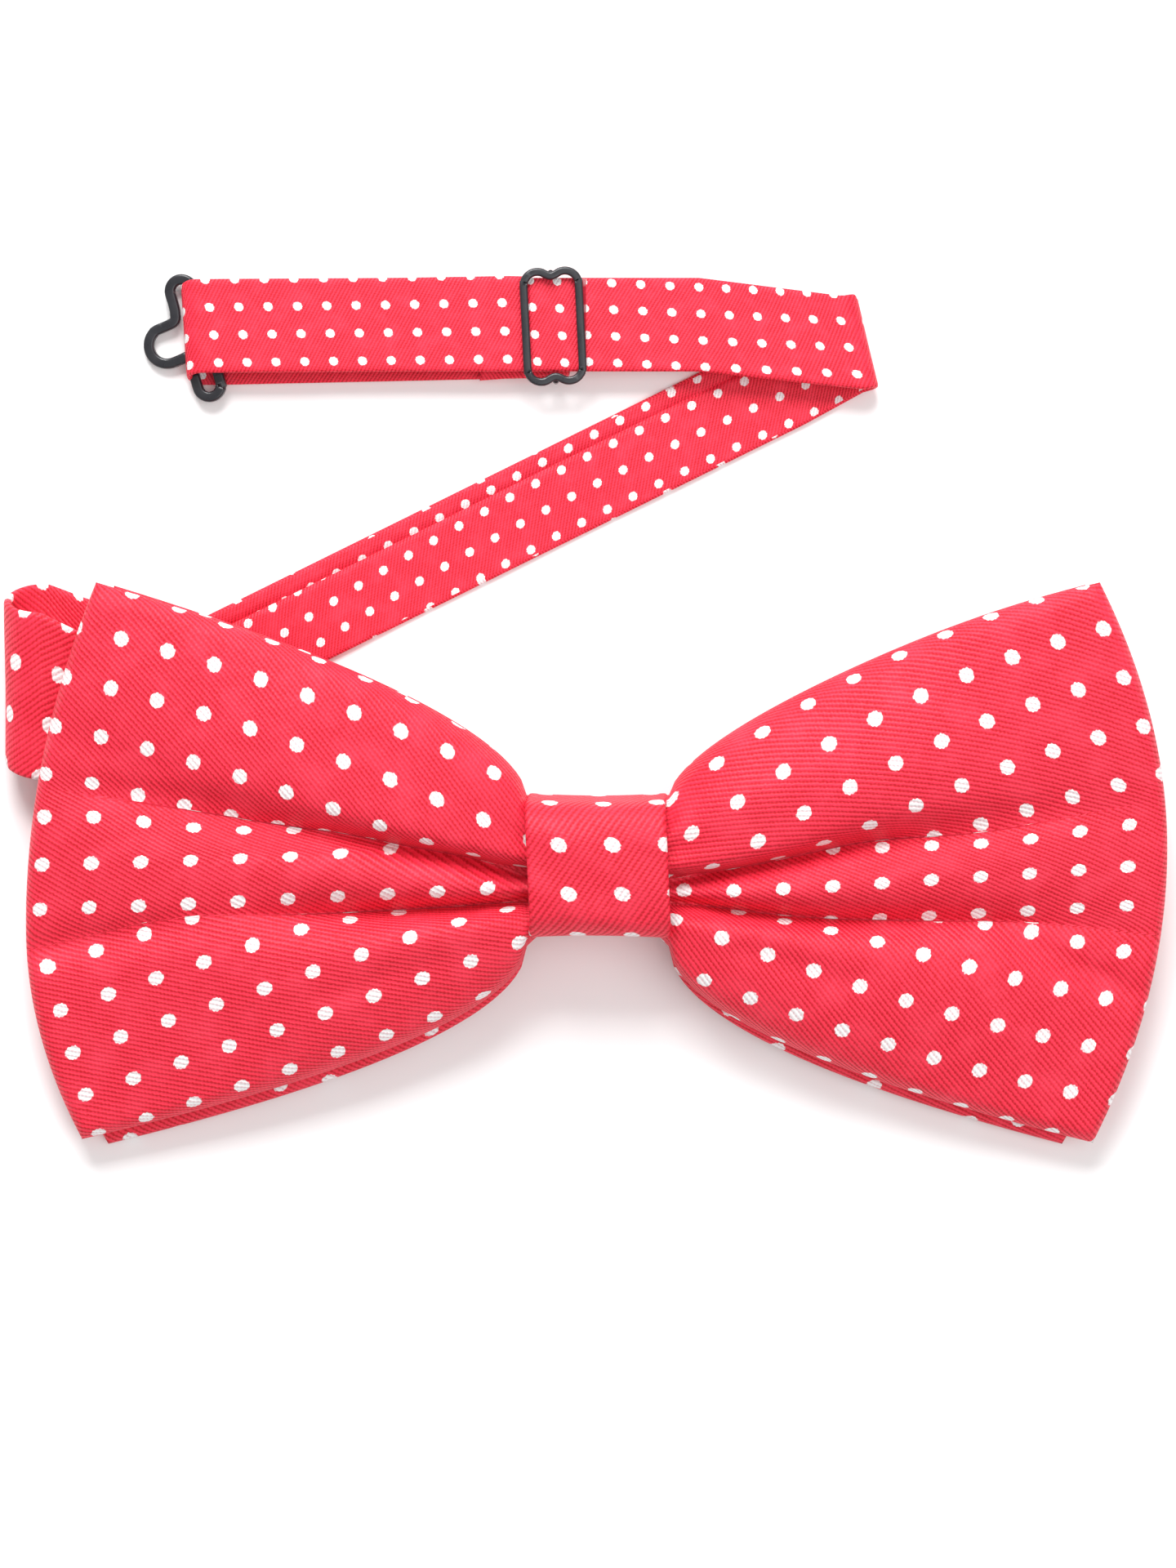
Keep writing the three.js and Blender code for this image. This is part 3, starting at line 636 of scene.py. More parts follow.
tail_path = line(tail_station(0.15, True), tail_station(TAIL_REACH, True), 12)
tail_path += turn(tail_station(TAIL_REACH, True), tail_station(TAIL_REACH, False), (1, 0, 0))[1:]
tail_path += line(tail_station(TAIL_REACH, False), tail_station(EYE_X + EYE_TAB, False), 8)[1:]


def tail_prints(s, t, *_):
    return (s / NARROW_PITCH + 0.2, t / NARROW_ROWS + 0.45)


tail_band = strap("tail_band", tail_path, BACK_T, tail_prints, BAND_TWILL, ripple=0.1)
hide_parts("tail_near_run", "tail_bend", "tail_far_run")
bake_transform(tail_band)

eye_start = tail_station(EYE_X + EYE_TAB, False)
eye_low = tail_station(EYE_X, False)
eye_high = station(eye_low[0] + vec(0, 0, EYE_LOOP_Z - RETURN_Z), eye_low[1])
eye_end = station(eye_high[0] + vec(EYE_TAB, 0, 0), eye_low[1])
eye_path = line(eye_start, eye_low, 3) + turn(eye_low, eye_high, (-1, 0, 0))[1:]
eye_path += line(eye_high, eye_end, 3)[1:]
eye_band = strap("eye_band", eye_path, BACK_T, tail_prints, BAND_TWILL, step=0.4)
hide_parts("eye_loop")
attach(eye_band, "tail")


# Bow wings: a flattened tube of cloth whose front is laid in three puffs with two creases between

PUFF_COLUMNS = (46, 26, 46)
WING_ROWS = 96
KNOT_ROWS = 8
RIM = 1.9  # thickness at the folded edges
RIM_ROLL = 1.5  # how far in from a folded edge the cloth has come round to its full thickness
TIP_ROLL = 1.6  # the same from the outer edge
KNOT_SIDE_X = 7.85
GATHERED = 6.7  # half height of the cloth that is gathered inside the knot
CREASE_X = np.linspace(-2, 68, 141)


def softened(corners):
    """The height along a crease at each CREASE_X, as a smooth line through (x, y) corners."""
    x, y = zip(*corners)
    height = np.interp(CREASE_X, x, y)
    for _ in range(3):
        padded = np.pad(height, 4, mode="edge")
        height = np.convolve(padded, np.ones(9) / 9, mode="valid")
    return height


class Wing:
    """The outline, creases and print of one wing, in its own plane. side is -1 left and 1 right.

    length is from the knot's middle to the outer edge, which reaches furthest at the share widest of the
    half height; corner_insets are how much shorter the upper and lower corners are. upper and lower hold
    the half height at the knot and at the outer edge, the power of the curve between them and its swell.
    height is the puffs' rise. creases holds the (x, y) corners of the upper and lower crease, and depths
    their depth and where along x it starts and ends to fade. dents are small hollows: start, end, width
    and depth. prints are for the lower, middle and upper puff, and run together over the range join.
    middle_stretch and ridge say how the middle print stretches: by how much, from where to where it
    fades, and the height and slope of the line about which it does.
    """

    def __init__(self, side, word, layer, **values):
        self.side, self.word, self.layer = side, word, layer
        for key, value in values.items():
            setattr(self, key, value)
        self.crease_lines = [softened(c) for c in self.creases]

    def spread(self, t, upper):
        base, end, power, swell = self.upper if upper else self.lower
        return mix(base, end, t ** power) + swell * sin(pi * t ** 1.9)

    def outer(self, edge):
        away = edge - self.widest
        inset = self.corner_insets[0 if away > 0 else 1]
        share = away / ((1 if away > 0 else -1) - self.widest)
        return self.length - inset * share ** 2

    def crease(self, which, x):
        return float(np.interp(x, CREASE_X, self.crease_lines[which]))

    def depth(self, which, x):
        strength, fade_start, fade_end = self.depths[which]
        return strength * (1 - 0.94 * float(smooth(fade_start, fade_end, x)))

    def puff(self, x):
        rise = float(smooth(5, 16, x))
        fall = float(smooth(32, self.length + 2, x))
        return self.height * (0.70 + 0.30 * rise) * (1 - 0.74 * fall)


def valley(distance, steep, gentle):
    """A crease's depth beside its line, with a steep side where distance is over 0."""
    width = steep if distance > 0 else gentle
    return exp(-abs(distance / width) ** 1.25)


def rounded(share):
    """The height of a quarter circle at this share of its width."""
    return sqrt(max(0.0, 1 - (1 - min(share, 1.0)) ** 2))


def crumple(wing, x, y, edge):
    """Small pleats out of the knot, and the cloth's own unevenness."""
    near = exp(-max(0.0, x - KNOT_SIDE_X) / 4.5)
    fan = exp(-((x - 20) / 14) ** 2)
    rise = 0.30 * near * sin(edge * 13 + 0.8 * sin(4 * edge) + wing.side)
    rise += 0.16 * fan * sin(edge * 9 + 1.7 * wing.side + 0.05 * x)
    rise += 0.34 * noise.noise(Vector((x * 0.085, y * 0.11, 7.0 + wing.side)))
    return rise + 0.07 * noise.noise(Vector((x * 0.3, y * 0.4, 2.0 - wing.side)))


def wing_rows(wing):
    """Front and back points, (x, y, z) in the bow's plane, in rows from the knot's middle outwards."""
    rows = []
    base = FRONT_Z if wing.layer == "front" else 0.0
    for i in range(-KNOT_ROWS, WING_ROWS + 1):
        if i < 0:
            t, inside = 0.0, -i / KNOT_ROWS
        else:
            t, inside = 1 - (1 - i / WING_ROWS) ** 1.25, 0.0
        top, bottom = wing.spread(t, True), wing.spread(t, False)
        if inside:
            pinch = min(1, 3 * inside)
            top = min(top, mix(top, GATHERED, pinch))
            bottom = min(bottom, mix(bottom, GATHERED, pinch))
        x_mid = mix(KNOT_SIDE_X, wing.length, t)
        low_crease = max(wing.crease(1, x_mid), -bottom + 2.0)
        high_crease = min(wing.crease(0, x_mid), top - 2.0)
        bounds = (-bottom, low_crease, high_crease, top)
        row = []
        for part, columns in enumerate(PUFF_COLUMNS):
            for k in range(columns + (part == 2)):
                e = k / columns
                e = mix(e, (1 - cos(pi * e)) / 2, 0.75)
                y = mix(bounds[part], bounds[part + 1], e)
                edge = y / (top if y > 0 else bottom)
                x = mix(KNOT_SIDE_X, wing.outer(edge), t)
                if inside:
                    x = mix(KNOT_SIDE_X, 0.3, inside)
                row.append((x, y, edge, t, part))
        rows.append(row)
    points = np.zeros((len(rows), len(rows[0]), 3))
    backs = np.zeros_like(points)
    for i, row in enumerate(rows):
        for j, (x, y, edge, t, part) in enumerate(row):
            top, bottom = wing.spread(t, True), wing.spread(t, False)
            from_rim = (1 - abs(edge)) * (top if y > 0 else bottom)
            from_tip = (1 - t) * (wing.length - KNOT_SIDE_X)
            roll = rounded(from_rim / RIM_ROLL) * rounded(from_tip / TIP_ROLL)
            crown = max(0.0, 1 - abs(edge) ** 2.6) ** 0.62
            z = wing.puff(x) * crown
            if wing.layer == "front":
                ridge = wing.crease(0, x) - wing.crease(1, x)
                for which in (0, 1):
                    d = y - wing.crease(which, x)
                    sign = 1 if which == 0 else -1
                    steep = mix(0.95, 3.4, float(smooth(14, 52, x)))
                    gentle = min(mix(1.3, 3.8, float(smooth(12, 50, x))), 0.38 * ridge)
                    z -= wing.depth(which, x) * valley(d * sign, steep, gentle) * crown
                for start, end, width, depth in wing.dents:
                    z -= depth * dent(x, y, start, end, width)
                z = max(z + crumple(wing, x, y, edge), 0.05)
                under_knot = 1 - float(smooth(5.6, 7.4, x))
                z = mix(z, min(z, 3.3), under_knot)
            points[i, j] = (x, y, base + RIM / 2 + (RIM / 2 + z) * roll)
            backs[i, j] = (x, y, base + RIM / 2 - RIM / 2 * roll)
    return points, backs


def dent(x, y, start, end, width):
    """A soft valley along the line from start to end, 1 on the line and 0 a few widths off."""
    d = (end[0] - start[0], end[1] - start[1])
    length = hypot(*d)
    along = ((x - start[0]) * d[0] + (y - start[1]) * d[1]) / length ** 2
    off = ((x - start[0]) * d[1] - (y - start[1]) * d[0]) / length
    ends = float(smooth(-0.15, 0.3, along)) * (1 - float(smooth(0.7, 1.15, along)))
    return ends * exp(-(off / width) ** 2)


UNROLL = 1.5  # on a steep part the print stretches by this many times the length that the slope adds
RIDGE_X = 44  # where a wing's ridge line has its given height
PRINT_JOIN = 3.2  # half the height over which two puffs' prints run together


def unrolled(points, wing):
    """Each point's y as it is on the flat cloth: the steep parts of a row hold more cloth than is seen."""
    x, y, z = points[:, :, 0], points[:, :, 1], points[:, :, 2]
    result = y.copy()
    limits = np.cumsum((0,) + PUFF_COLUMNS)
    for part, (low, high) in enumerate(zip(limits[:-1], limits[1:])):
        if part == 1:
            more, near, far = wing.middle_stretch
            middle = wing.ridge[0] + wing.ridge[1] * (x[:, low:high + 1] - RIDGE_X)
            away = y[:, low:high + 1] - middle
            stretch = 1 + more * (1 - smooth(near, far, x[:, low:high + 1]))
            result[:, low:high + 1] = middle + away * np.where(away > 0, stretch, 1.08)
            continue
        dy = np.diff(y[:, low:high + 1], axis=1)
        dz = np.diff(z[:, low:high + 1], axis=1)
        extra = np.maximum(0, np.hypot(dy, dz) - 1.06 * np.abs(dy))
        total = np.concatenate([np.zeros((len(y), 1)), np.cumsum(extra, axis=1)], axis=1)
        middle = (high - low) // 2
        result[:, low:high + 1] = y[:, low:high + 1] + UNROLL * (total - total[:, middle:middle + 1])
    return result


def wing_mesh(wing):
    tops, backs = wing_rows(wing)
    n, m = tops.shape[:2]
    flat_y = unrolled(tops, wing)
    x, y = tops[:, :, 0] * wing.side, flat_y
    prints = [p(x, y) for p in wing.prints]  # lower, middle and upper puff
    fade = smooth(wing.join[0], wing.join[1], tops[:, :, 0])
    boundaries = [np.array([[wing.crease(which, v) for v in r] for r in tops[:, :, 0]]) for which in (1, 0)]
    limits = np.cumsum(PUFF_COLUMNS)

    def face_uv(i, j, part):
        """The print at a point, as the puff sees it; near the outer edge the puffs' prints run together."""
        value = prints[part][i, j]
        f = fade[i, j]
        if f > 0:
            lower = float(smooth(-PRINT_JOIN, PRINT_JOIN, y[i, j] - boundaries[0][i, j]))
            upper = float(smooth(-PRINT_JOIN, PRINT_JOIN, y[i, j] - boundaries[1][i, j]))
            blended = mix(prints[0][i, j], prints[1][i, j], lower)
            blended = mix(blended, prints[2][i, j], upper)
            value = mix(value, blended, f)
        return tuple(value)

    count = n * m
    flip = wing.side > 0
    all_points = np.concatenate([tops.reshape(-1, 3), backs.reshape(-1, 3)])
    faces, uv = [], []

    def quad(corners, coordinates, turned):
        if turned:
            corners, coordinates = corners[::-1], coordinates[::-1]
        faces.append(corners)
        uv.extend(coordinates)

    back_print = wing.prints[1]
    for i in range(n - 1):
        for j in range(m - 1):
            part = int(np.searchsorted(limits, j, side="right"))
            grid = ((i, j), (i + 1, j), (i + 1, j + 1), (i, j + 1))
            quad([a * m + b for a, b in grid], [face_uv(a, b, part) for a, b in grid], not flip)
            back = [tuple(back_print(tops[a, b, 0] * wing.side, tops[a, b, 1])) for a, b in grid]
            quad([count + a * m + b for a, b in grid], back, flip)
    for j in range(m - 1):
        corners = [j, j + 1, count + j + 1, count + j]
        quad(corners, [(0.5, 0.5)] * 4, not flip)
    all_points[:, 0] *= wing.side
    piece = make_piece(wing_name(wing), tilted(all_points), faces, BOW_TWILL, uv)
    weld(piece)
    return piece


def weld(piece):
    """Joins points that lie together, as at a folded edge, and turns every face outward."""
    bm = bmesh.new()
    bm.from_mesh(piece.data)
    bmesh.ops.remove_doubles(bm, verts=bm.verts, dist=0.002 * MM)
    bmesh.ops.dissolve_degenerate(bm, edges=bm.edges, dist=0.001 * MM)
    bmesh.ops.recalc_face_normals(bm, faces=bm.faces)
    bm.to_mesh(piece.data)
    bm.free()


def wing_name(wing):
    return f"{wing.layer}_bow_{wing.word}_panel"


def bowed(pattern, amount, middle, drop):
    """The same print with its rows bent, as the gathered cloth fans out from the knot."""
    def at(x, y):
        bend = amount * (np.abs(x) - middle) ** 2 - drop
        return pattern(x, y + bend)
    return at


left_prints = (lattice((-47.07, 4.26), 5.66, 19.9, 4.95, 15.3),
               lattice((-44.55, 1.25), 5.47, 3.1, 5.38, -3.4),
               bowed(lattice((-47.57, -4.71), 5.38, -19.2, 5.36, -12.4), 0.0029, 33.0, 1.4))
right_prints = (bowed(lattice((46.37, 4.9), 5.28, -16.7, 5.46, -20.2), -0.0018, 36.0, -0.216),
                lattice((41.86, -0.75), 5.41, 3.2, 4.77, -1.0),
                bowed(lattice((46.42, -6.56), 5.53, 25.6, 5.29, 25.2), 0.0055, 34.0, 1.95))

LEFT_CREASES = (
    ((0, -1.0), (8, -0.9), (12, 0.6), (17, 1.6), (22, 2.5), (27.6, 3.8), (33, 4.5), (38, 5.2),
     (44.4, 6.3), (49.6, 7.1), (57, 8.2), (68, 9.6)),
    ((0, -3.8), (8, -3.8), (20, -4.7), (30, -5.1), (44, -4.9), (50.3, -6.0), (56, -7.6), (61, -8.9),
     (68, -10.4)))
RIGHT_CREASES = (
    ((0, -1.6), (8, -1.5), (12, -0.7), (16.5, 0.1), (20.6, 0.9), (24.7, 1.9), (28.8, 2.8), (32.9, 3.3),
     (36.6, 3.5), (41.9, 3.95), (46.8, 4.8), (51.9, 5.8), (57.4, 6.8), (68, 8.4)),
    ((0, -4.0), (8, -4.0), (14, -4.6), (20.6, -5.4), (25.5, -5.75), (36, -6.0), (47, -6.1), (52.5, -6.5),
     (58, -7.1), (68, -8.2)))
# A rear wing has no puffs: its print isn't stretched, and its prints are one.
PLAIN = dict(height=0.0, creases=(((0, 3), (68, 3)), ((0, -3), (68, -3))), depths=((0, 1, 2), (0, 1, 2)),
             middle_stretch=(0.0, 1.0, 2.0), ridge=(0.0, 0.0), join=(98.0, 99.0), dents=())

WINGS = [
    Wing(-1, "left", "front", length=63.0, height=4.6, widest=-0.25, corner_insets=(8.2, 5.9),
         upper=(7.8, 31.3, 0.60, 0.0), lower=(9.1, 30.8, 0.54, 0.0),
         creases=LEFT_CREASES, depths=((4.3, 26.0, 62.0), (4.3, 22.0, 50.0)),
         middle_stretch=(1.2, 30.0, 58.0), ridge=(1.2, -0.045), join=(50.0, 61.0), prints=left_prints,
         dents=(((44, 10), (60, 15), 2.0, 0.35), ((34, 6.5), (58, 9.5), 1.7, 0.45),
                ((43, -5.6), (66, -10.2), 1.9, 1.0), ((14, -9), (34, -15), 1.6, 0.35))),
    Wing(1, "right", "front", length=62.6, height=4.6, widest=0.03, corner_insets=(7.8, 7.8),
         upper=(7.8, 31.3, 0.64, 0.7), lower=(9.1, 31.2, 0.54, 0.0),
         creases=RIGHT_CREASES, depths=((4.3, 26.0, 58.0), (4.3, 34.0, 66.0)),
         middle_stretch=(0.4, 42.0, 58.0), ridge=(0.0, 0.035), join=(50.0, 61.0), prints=right_prints,
         dents=(((44, -7), (61, -15), 1.7, 0.9), ((30, 4.2), (54, 7.2), 1.8, 0.5),
                ((14, -8), (30, -13), 1.6, 0.4))),
    Wing(-1, "left", "rear", length=61.2, widest=-0.25, corner_insets=(8.2, 6.8),
         upper=(7.4, 30.6, 0.60, 0.0), lower=(9.6, 31.9, 0.52, 0.0), prints=(left_prints[1],) * 3, **PLAIN),
    Wing(1, "right", "rear", length=61.2, widest=0.03, corner_insets=(7.8, 9.6),
         upper=(7.4, 30.7, 0.64, 0.5), lower=(9.6, 31.9, 0.52, 0.0), prints=(right_prints[1],) * 3, **PLAIN),
]

LINING_T = 0.5


def wing_lining(wing):
    """The stiff woven layer inside a wing, a little smaller than the wing all round."""
    low = (FRONT_Z if wing.layer == "front" else 0.0) + RIM / 2 - LINING_T / 2
    steps, across = 24, 16
    points, faces = [], []
    for z in (low, low + LINING_T):
        for i in range(steps + 1):
            t = mix(0.03, 0.96, i / steps)
            for j in range(across + 1):
                edge = 0.9 * (2 * j / across - 1)
                y = edge * wing.spread(t, edge > 0)
                points.append((wing.side * mix(KNOT_SIDE_X, wing.outer(edge), t), y, z))
    row, layer = across + 1, (across + 1) * (steps + 1)
    for i in range(steps):
        for j in range(across):
            quad = [i * row + j, (i + 1) * row + j, (i + 1) * row + j + 1, i * row + j + 1]
            faces += [quad[::-1], [layer + k for k in quad]]
    rim = list(range(row)) + [i * row + across for i in range(1, steps + 1)]
    rim += [steps * row + j for j in range(across - 1, -1, -1)]
    rim += [i * row for i in range(steps - 1, 0, -1)]
    for a, b in zip(rim, rim[1:] + rim[:1]):
        faces.append([a, b, layer + b, layer + a])
    piece = make_piece(f"{wing.layer}_bow_{wing.word}_lining", tilted(points), faces, LINING)
    weld(piece)
    for polygon in piece.data.polygons:
        polygon.use_smooth = False
    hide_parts(f"{wing.layer}_bow_{wing.word}_interlining")
    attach(piece, "bow")


for wing in WINGS:
    panel = wing_mesh(wing)
    nodes = [f"{wing.layer}_bow_{wing.word}_wing"]
    if wing.side < 0:
        nodes.append(f"{wing.layer}_waist")
    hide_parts(*nodes)
    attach(panel, "bow")
    wing_lining(wing)


# Knot: a band of cloth round the waist, folded in at both sides

KNOT_LOW_Z = -1.8
KNOT_TOP_Z = 10.4
KNOT_T = 0.9
KNOT_STEPS = 120
knot_print = lattice((-3.3, -2.05), 5.85, 0, 5.4, 8.9)


def knot_section(x):
    """The wrap's middle line at x, once round from the middle of the back."""
    across = 2 * x / KNOT_LENGTH
    half_y = KNOT_WIDTH / 2 - KNOT_T / 2 - 0.28 * (1 - across ** 2)
    top = KNOT_TOP_Z - KNOT_T / 2 - 0.25 * across ** 2
    low = KNOT_LOW_Z + KNOT_T / 2
    middle = (top + low) / 2
    points = []
    for k in range(KNOT_STEPS):
        angle = -pi / 2 + 2 * pi * k / KNOT_STEPS
        c, s = cos(angle), sin(angle)
        power = 2 / 3.6 if s > 0 else 2 / 5
        y = half_y * copysign(abs(c) ** power, c)
        z = middle + (top - low) / 2 * copysign(abs(s) ** power, s)
        points.append((y, z))
    return np.array(points)


def knot_wrap():
    """The wrap of cloth, with an uneven front and one corner that curls."""
    half = KNOT_LENGTH / 2
    r = KNOT_T / 2
    columns = 30
    profile = []
    for sign in (1, -1):
        for k in range(columns + 1):
            profile.append((sign * mix(r - half, half - r, k / columns), sign * r))
        for k in range(1, 6):
            angle = sign * pi / 2 - pi * k / 6
            profile.append((sign * (half - r) + r * cos(angle), r * sin(angle)))
    points, lengths = [], []
    for x, up in profile:
        line_points = knot_section(x)
        tangent = unit(np.roll(line_points, -1, axis=0) - np.roll(line_points, 1, axis=0))
        outward = np.stack([tangent[:, 1], -tangent[:, 0]], axis=1)
        ring = line_points + outward * up
        step = np.linalg.norm(np.roll(line_points, -1, axis=0) - line_points, axis=1)
        lengths.append(np.concatenate([[0], np.cumsum(step)]))
        column = []
        for k, (y, z) in enumerate(ring):
            front = float(smooth(2, 8, z))
            lean = 0.35 * front * (y / 7.7)
            curl = -0.9 * float(smooth(0, -7, x)) * float(smooth(-4.5, -7.5, y)) * front
            crease = 0.10 * front * sin(0.9 * y + 0.5 * x)
            crease += 0.16 * front * noise.noise(Vector((x * 0.22, y * 0.35, 5.0)))
            column.append((x - lean + 0.25 * curl, y, z + crease + 0.35 * curl))
        points.append(column)
    points = np.array(points)
    m, n = points.shape[:2]
    faces, uv = [], []
    for i in range(m):
        for j in range(n):
            a, b = (i + 1) % m, (j + 1) % n
            faces.append([i * n + j, i * n + b, a * n + b, a * n + j])
            for ii, jj in ((i, j), (i, j + 1), (a, j + 1), (a, j)):
                s = lengths[ii][jj] - lengths[ii][KNOT_STEPS // 2]
                uv.append(tuple(knot_print(profile[ii][0], -s)))
    wrapped = tilted(points.reshape(-1, 3))
    piece = make_piece("knot_wrap_cloth", wrapped, faces, KNOT_TWILL, uv)
    weld(piece)
    return piece


knot = knot_wrap()
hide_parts("knot_wrap")
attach(knot, "bow")


def ring_faces(rings, around):
    """Faces of a closed skin over rings of points, with a cap at each end."""
    faces = []
    for i in range(rings - 1):
        for k in range(around):
            n = (k + 1) % around
            faces.append([i * around + k, i * around + n, (i + 1) * around + n, (i + 1) * around + k])
    faces.append(list(range(around))[::-1])
    faces.append([(rings - 1) * around + k for k in range(around)])
    return faces


def knot_pad():
    """The soft filling under the knot's front."""
    half_x, half_y = KNOT_LENGTH / 2 - 1.7, KNOT_WIDTH / 2 - 2.2
    low, high = 8.1, KNOT_TOP_Z - KNOT_T - 0.55
    rings, around = 12, 40
    points = []
    for i in range(rings + 1):
        lift = -cos(pi * i / rings)
        size = max(0.02, 1 - abs(lift) ** 4) ** 0.5
        for j in range(around):
            c, s = cos(2 * pi * j / around), sin(2 * pi * j / around)
            x = half_x * size * copysign(abs(c) ** 0.5, c)
            y = half_y * size * copysign(abs(s) ** 0.5, s)
            points.append((x, y, mix(low, high, (lift + 1) / 2)))
    return make_piece("knot_pad", tilted(points), ring_faces(rings + 1, around), LINING)


pad = knot_pad()
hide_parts("knot_padding")
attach(pad, "bow")


# Thread: rows of stitches that hold the turned-back ends

def tube(points, radius, sides=8):
    """A closed tube of vertices and faces along points."""
    points = array(points)
    tangents = unit(np.gradient(points, axis=0))
    side = unit(np.cross(tangents, vec(0.13, 0.21, 1)))
    up = np.cross(side, tangents)
    verts = []
    for i, p in enumerate(points):
        for k in range(sides):
            angle = 2 * pi * k / sides
            verts.append(p + radius * (cos(angle) * side[i] + sin(angle) * up[i]))
    return np.array(verts), ring_faces(len(points), sides)


THREAD_R = 0.13
STITCH_PITCH = 0.32


def bar_tack(name, node, body, start, end, width, up, to_table=None):
    """A zigzag of thread from start to end."""
    start, end = array(start), array(end)
    direction = unit(end - start)
    sideways = unit(np.cross(direction, array(up)))
    count = max(8, int(np.linalg.norm(end - start) / STITCH_PITCH))
    points = []
    for i in range(count * 4 + 1):
        share = i / (count * 4)
        swing = sin(2 * pi * i / 8) * width / 2
        lift = 0.09 * cos(4 * pi * i / 8)
        points.append(mix(start, end, share) + sideways * swing + array(up) * lift)
    verts, faces = tube(points, THREAD_R)
    if to_table is not None:
        verts = to_table(verts)
    piece = make_piece(name, verts, faces, THREAD)
    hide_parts(node)
    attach(piece, body)
    return piece


UP = (0, 0, 1)
seam_middle = seam_point + vec(0, 0, 0.55)
seam_half = diagonal_half * 0.85
tack_x = TAIL_CUT_X + 1
eye_tack = vec(EYE_X + 2.6, BOW_SHIFT / 2, EYE_LOOP_Z + 0.42)
knot_back_z = KNOT_LOW_Z - 0.12
bar_tack("band_seam_stitches", "band_seam_tack", "strap_base",
         seam_middle - seam_half, seam_middle + seam_half, 1.6, UP)
bar_tack("slider_tail_stitches", "slider_tail_tack", "slider",
         (tack_x, BAND_Y - 5, 1.85), (tack_x, BAND_Y + 3.4, 1.85), 0.9, UP)
bar_tack("eye_loop_stitches", "eye_loop_tack", "tail",
         eye_tack - vec(0, 4, 0), eye_tack + vec(0, 4, 0), 0.9, UP)
bar_tack("knot_back_stitches", "knot_back_tack", "bow",
         (-4.6, 0, knot_back_z), (4.6, 0, knot_back_z), 1.1, (0, 0, -1), tilted)


# Hardware: flat wire, coated satin black

def smooth_path(points, closed, step=0.18):
    """A Catmull-Rom line through points, at even steps."""
    p = [array(q) for q in points]
    count = len(p)
    result = []
    for i in range(count if closed else count - 1):
        if closed:
            a, b, c, d = (p[(i + k) % count] for k in (-1, 0, 1, 2))
        else:
            a, b, c, d = p[max(i - 1, 0)], p[i], p[i + 1], p[min(i + 2, count - 1)]
        pieces = max(2, int(np.linalg.norm(c - b) / step))
        for k in range(pieces):
            t = k / pieces
            result.append(0.5 * (2 * b + (c - a) * t + (2 * a - 5 * b + 4 * c - d) * t ** 2
                                 + (3 * b - a - 3 * c + d) * t ** 3))
    if not closed:
        result.append(p[-1])
    return np.array(result)


def flat_wire(path, width, thickness, closed, corner=0.26):
    """Vertices and faces of a flat wire with rounded edges along a path in its own XY plane."""
    ring = []
    for cx, cy, start in ((1, 1, 0), (-1, 1, 90), (-1, -1, 180), (1, -1, 270)):
        for k in range(5):
            angle = radians(start + 90 * k / 4)
            ring.append((cx * (width / 2 - corner) + corner * cos(angle),
                         cy * (thickness / 2 - corner) + corner * sin(angle)))
    n, m = len(path), len(ring)
    if closed:
        tangent = unit(np.roll(path, -1, axis=0) - np.roll(path, 1, axis=0))
    else:
        tangent = unit(np.gradient(path, axis=0))
    verts, faces = [], []
    for i, (x, y) in enumerate(path):
        shrink = 1.0
        if not closed:
            shrink = sqrt(min(1.0, (min(i, n - 1 - i) + 0.15) / 2.2))
        for a, b in ring:
            verts.append((x - tangent[i][1] * a * shrink, y + tangent[i][0] * a * shrink, b * shrink))
    for i in range(n if closed else n - 1):
        for k in range(m):
            after, beside = (i + 1) % n, (k + 1) % m
            faces.append([i * m + k, after * m + k, after * m + beside, i * m + beside])
    if not closed:
        faces.append(list(range(m)))
        faces.append([(n - 1) * m + k for k in range(m)][::-1])
    return np.array(verts), faces


def arc(cx, cy, r, start, end, steps):
    return [(cx + r * cos(radians(mix(start, end, i / steps))),
             cy + r * sin(radians(mix(start, end, i / steps)))) for i in range(steps + 1)]


def turned(points, matrix, offset):
    return np.asarray(points) @ np.array(matrix.to_3x3()).T + array(offset)


SLIDER_LEAN = radians(2.8)
SLIDER_HALF_X = 3.05
SLIDER_HALF_Y = 6.1
BAR_W = 0.9
BAR_T = 0.75
POST_R = 0.34


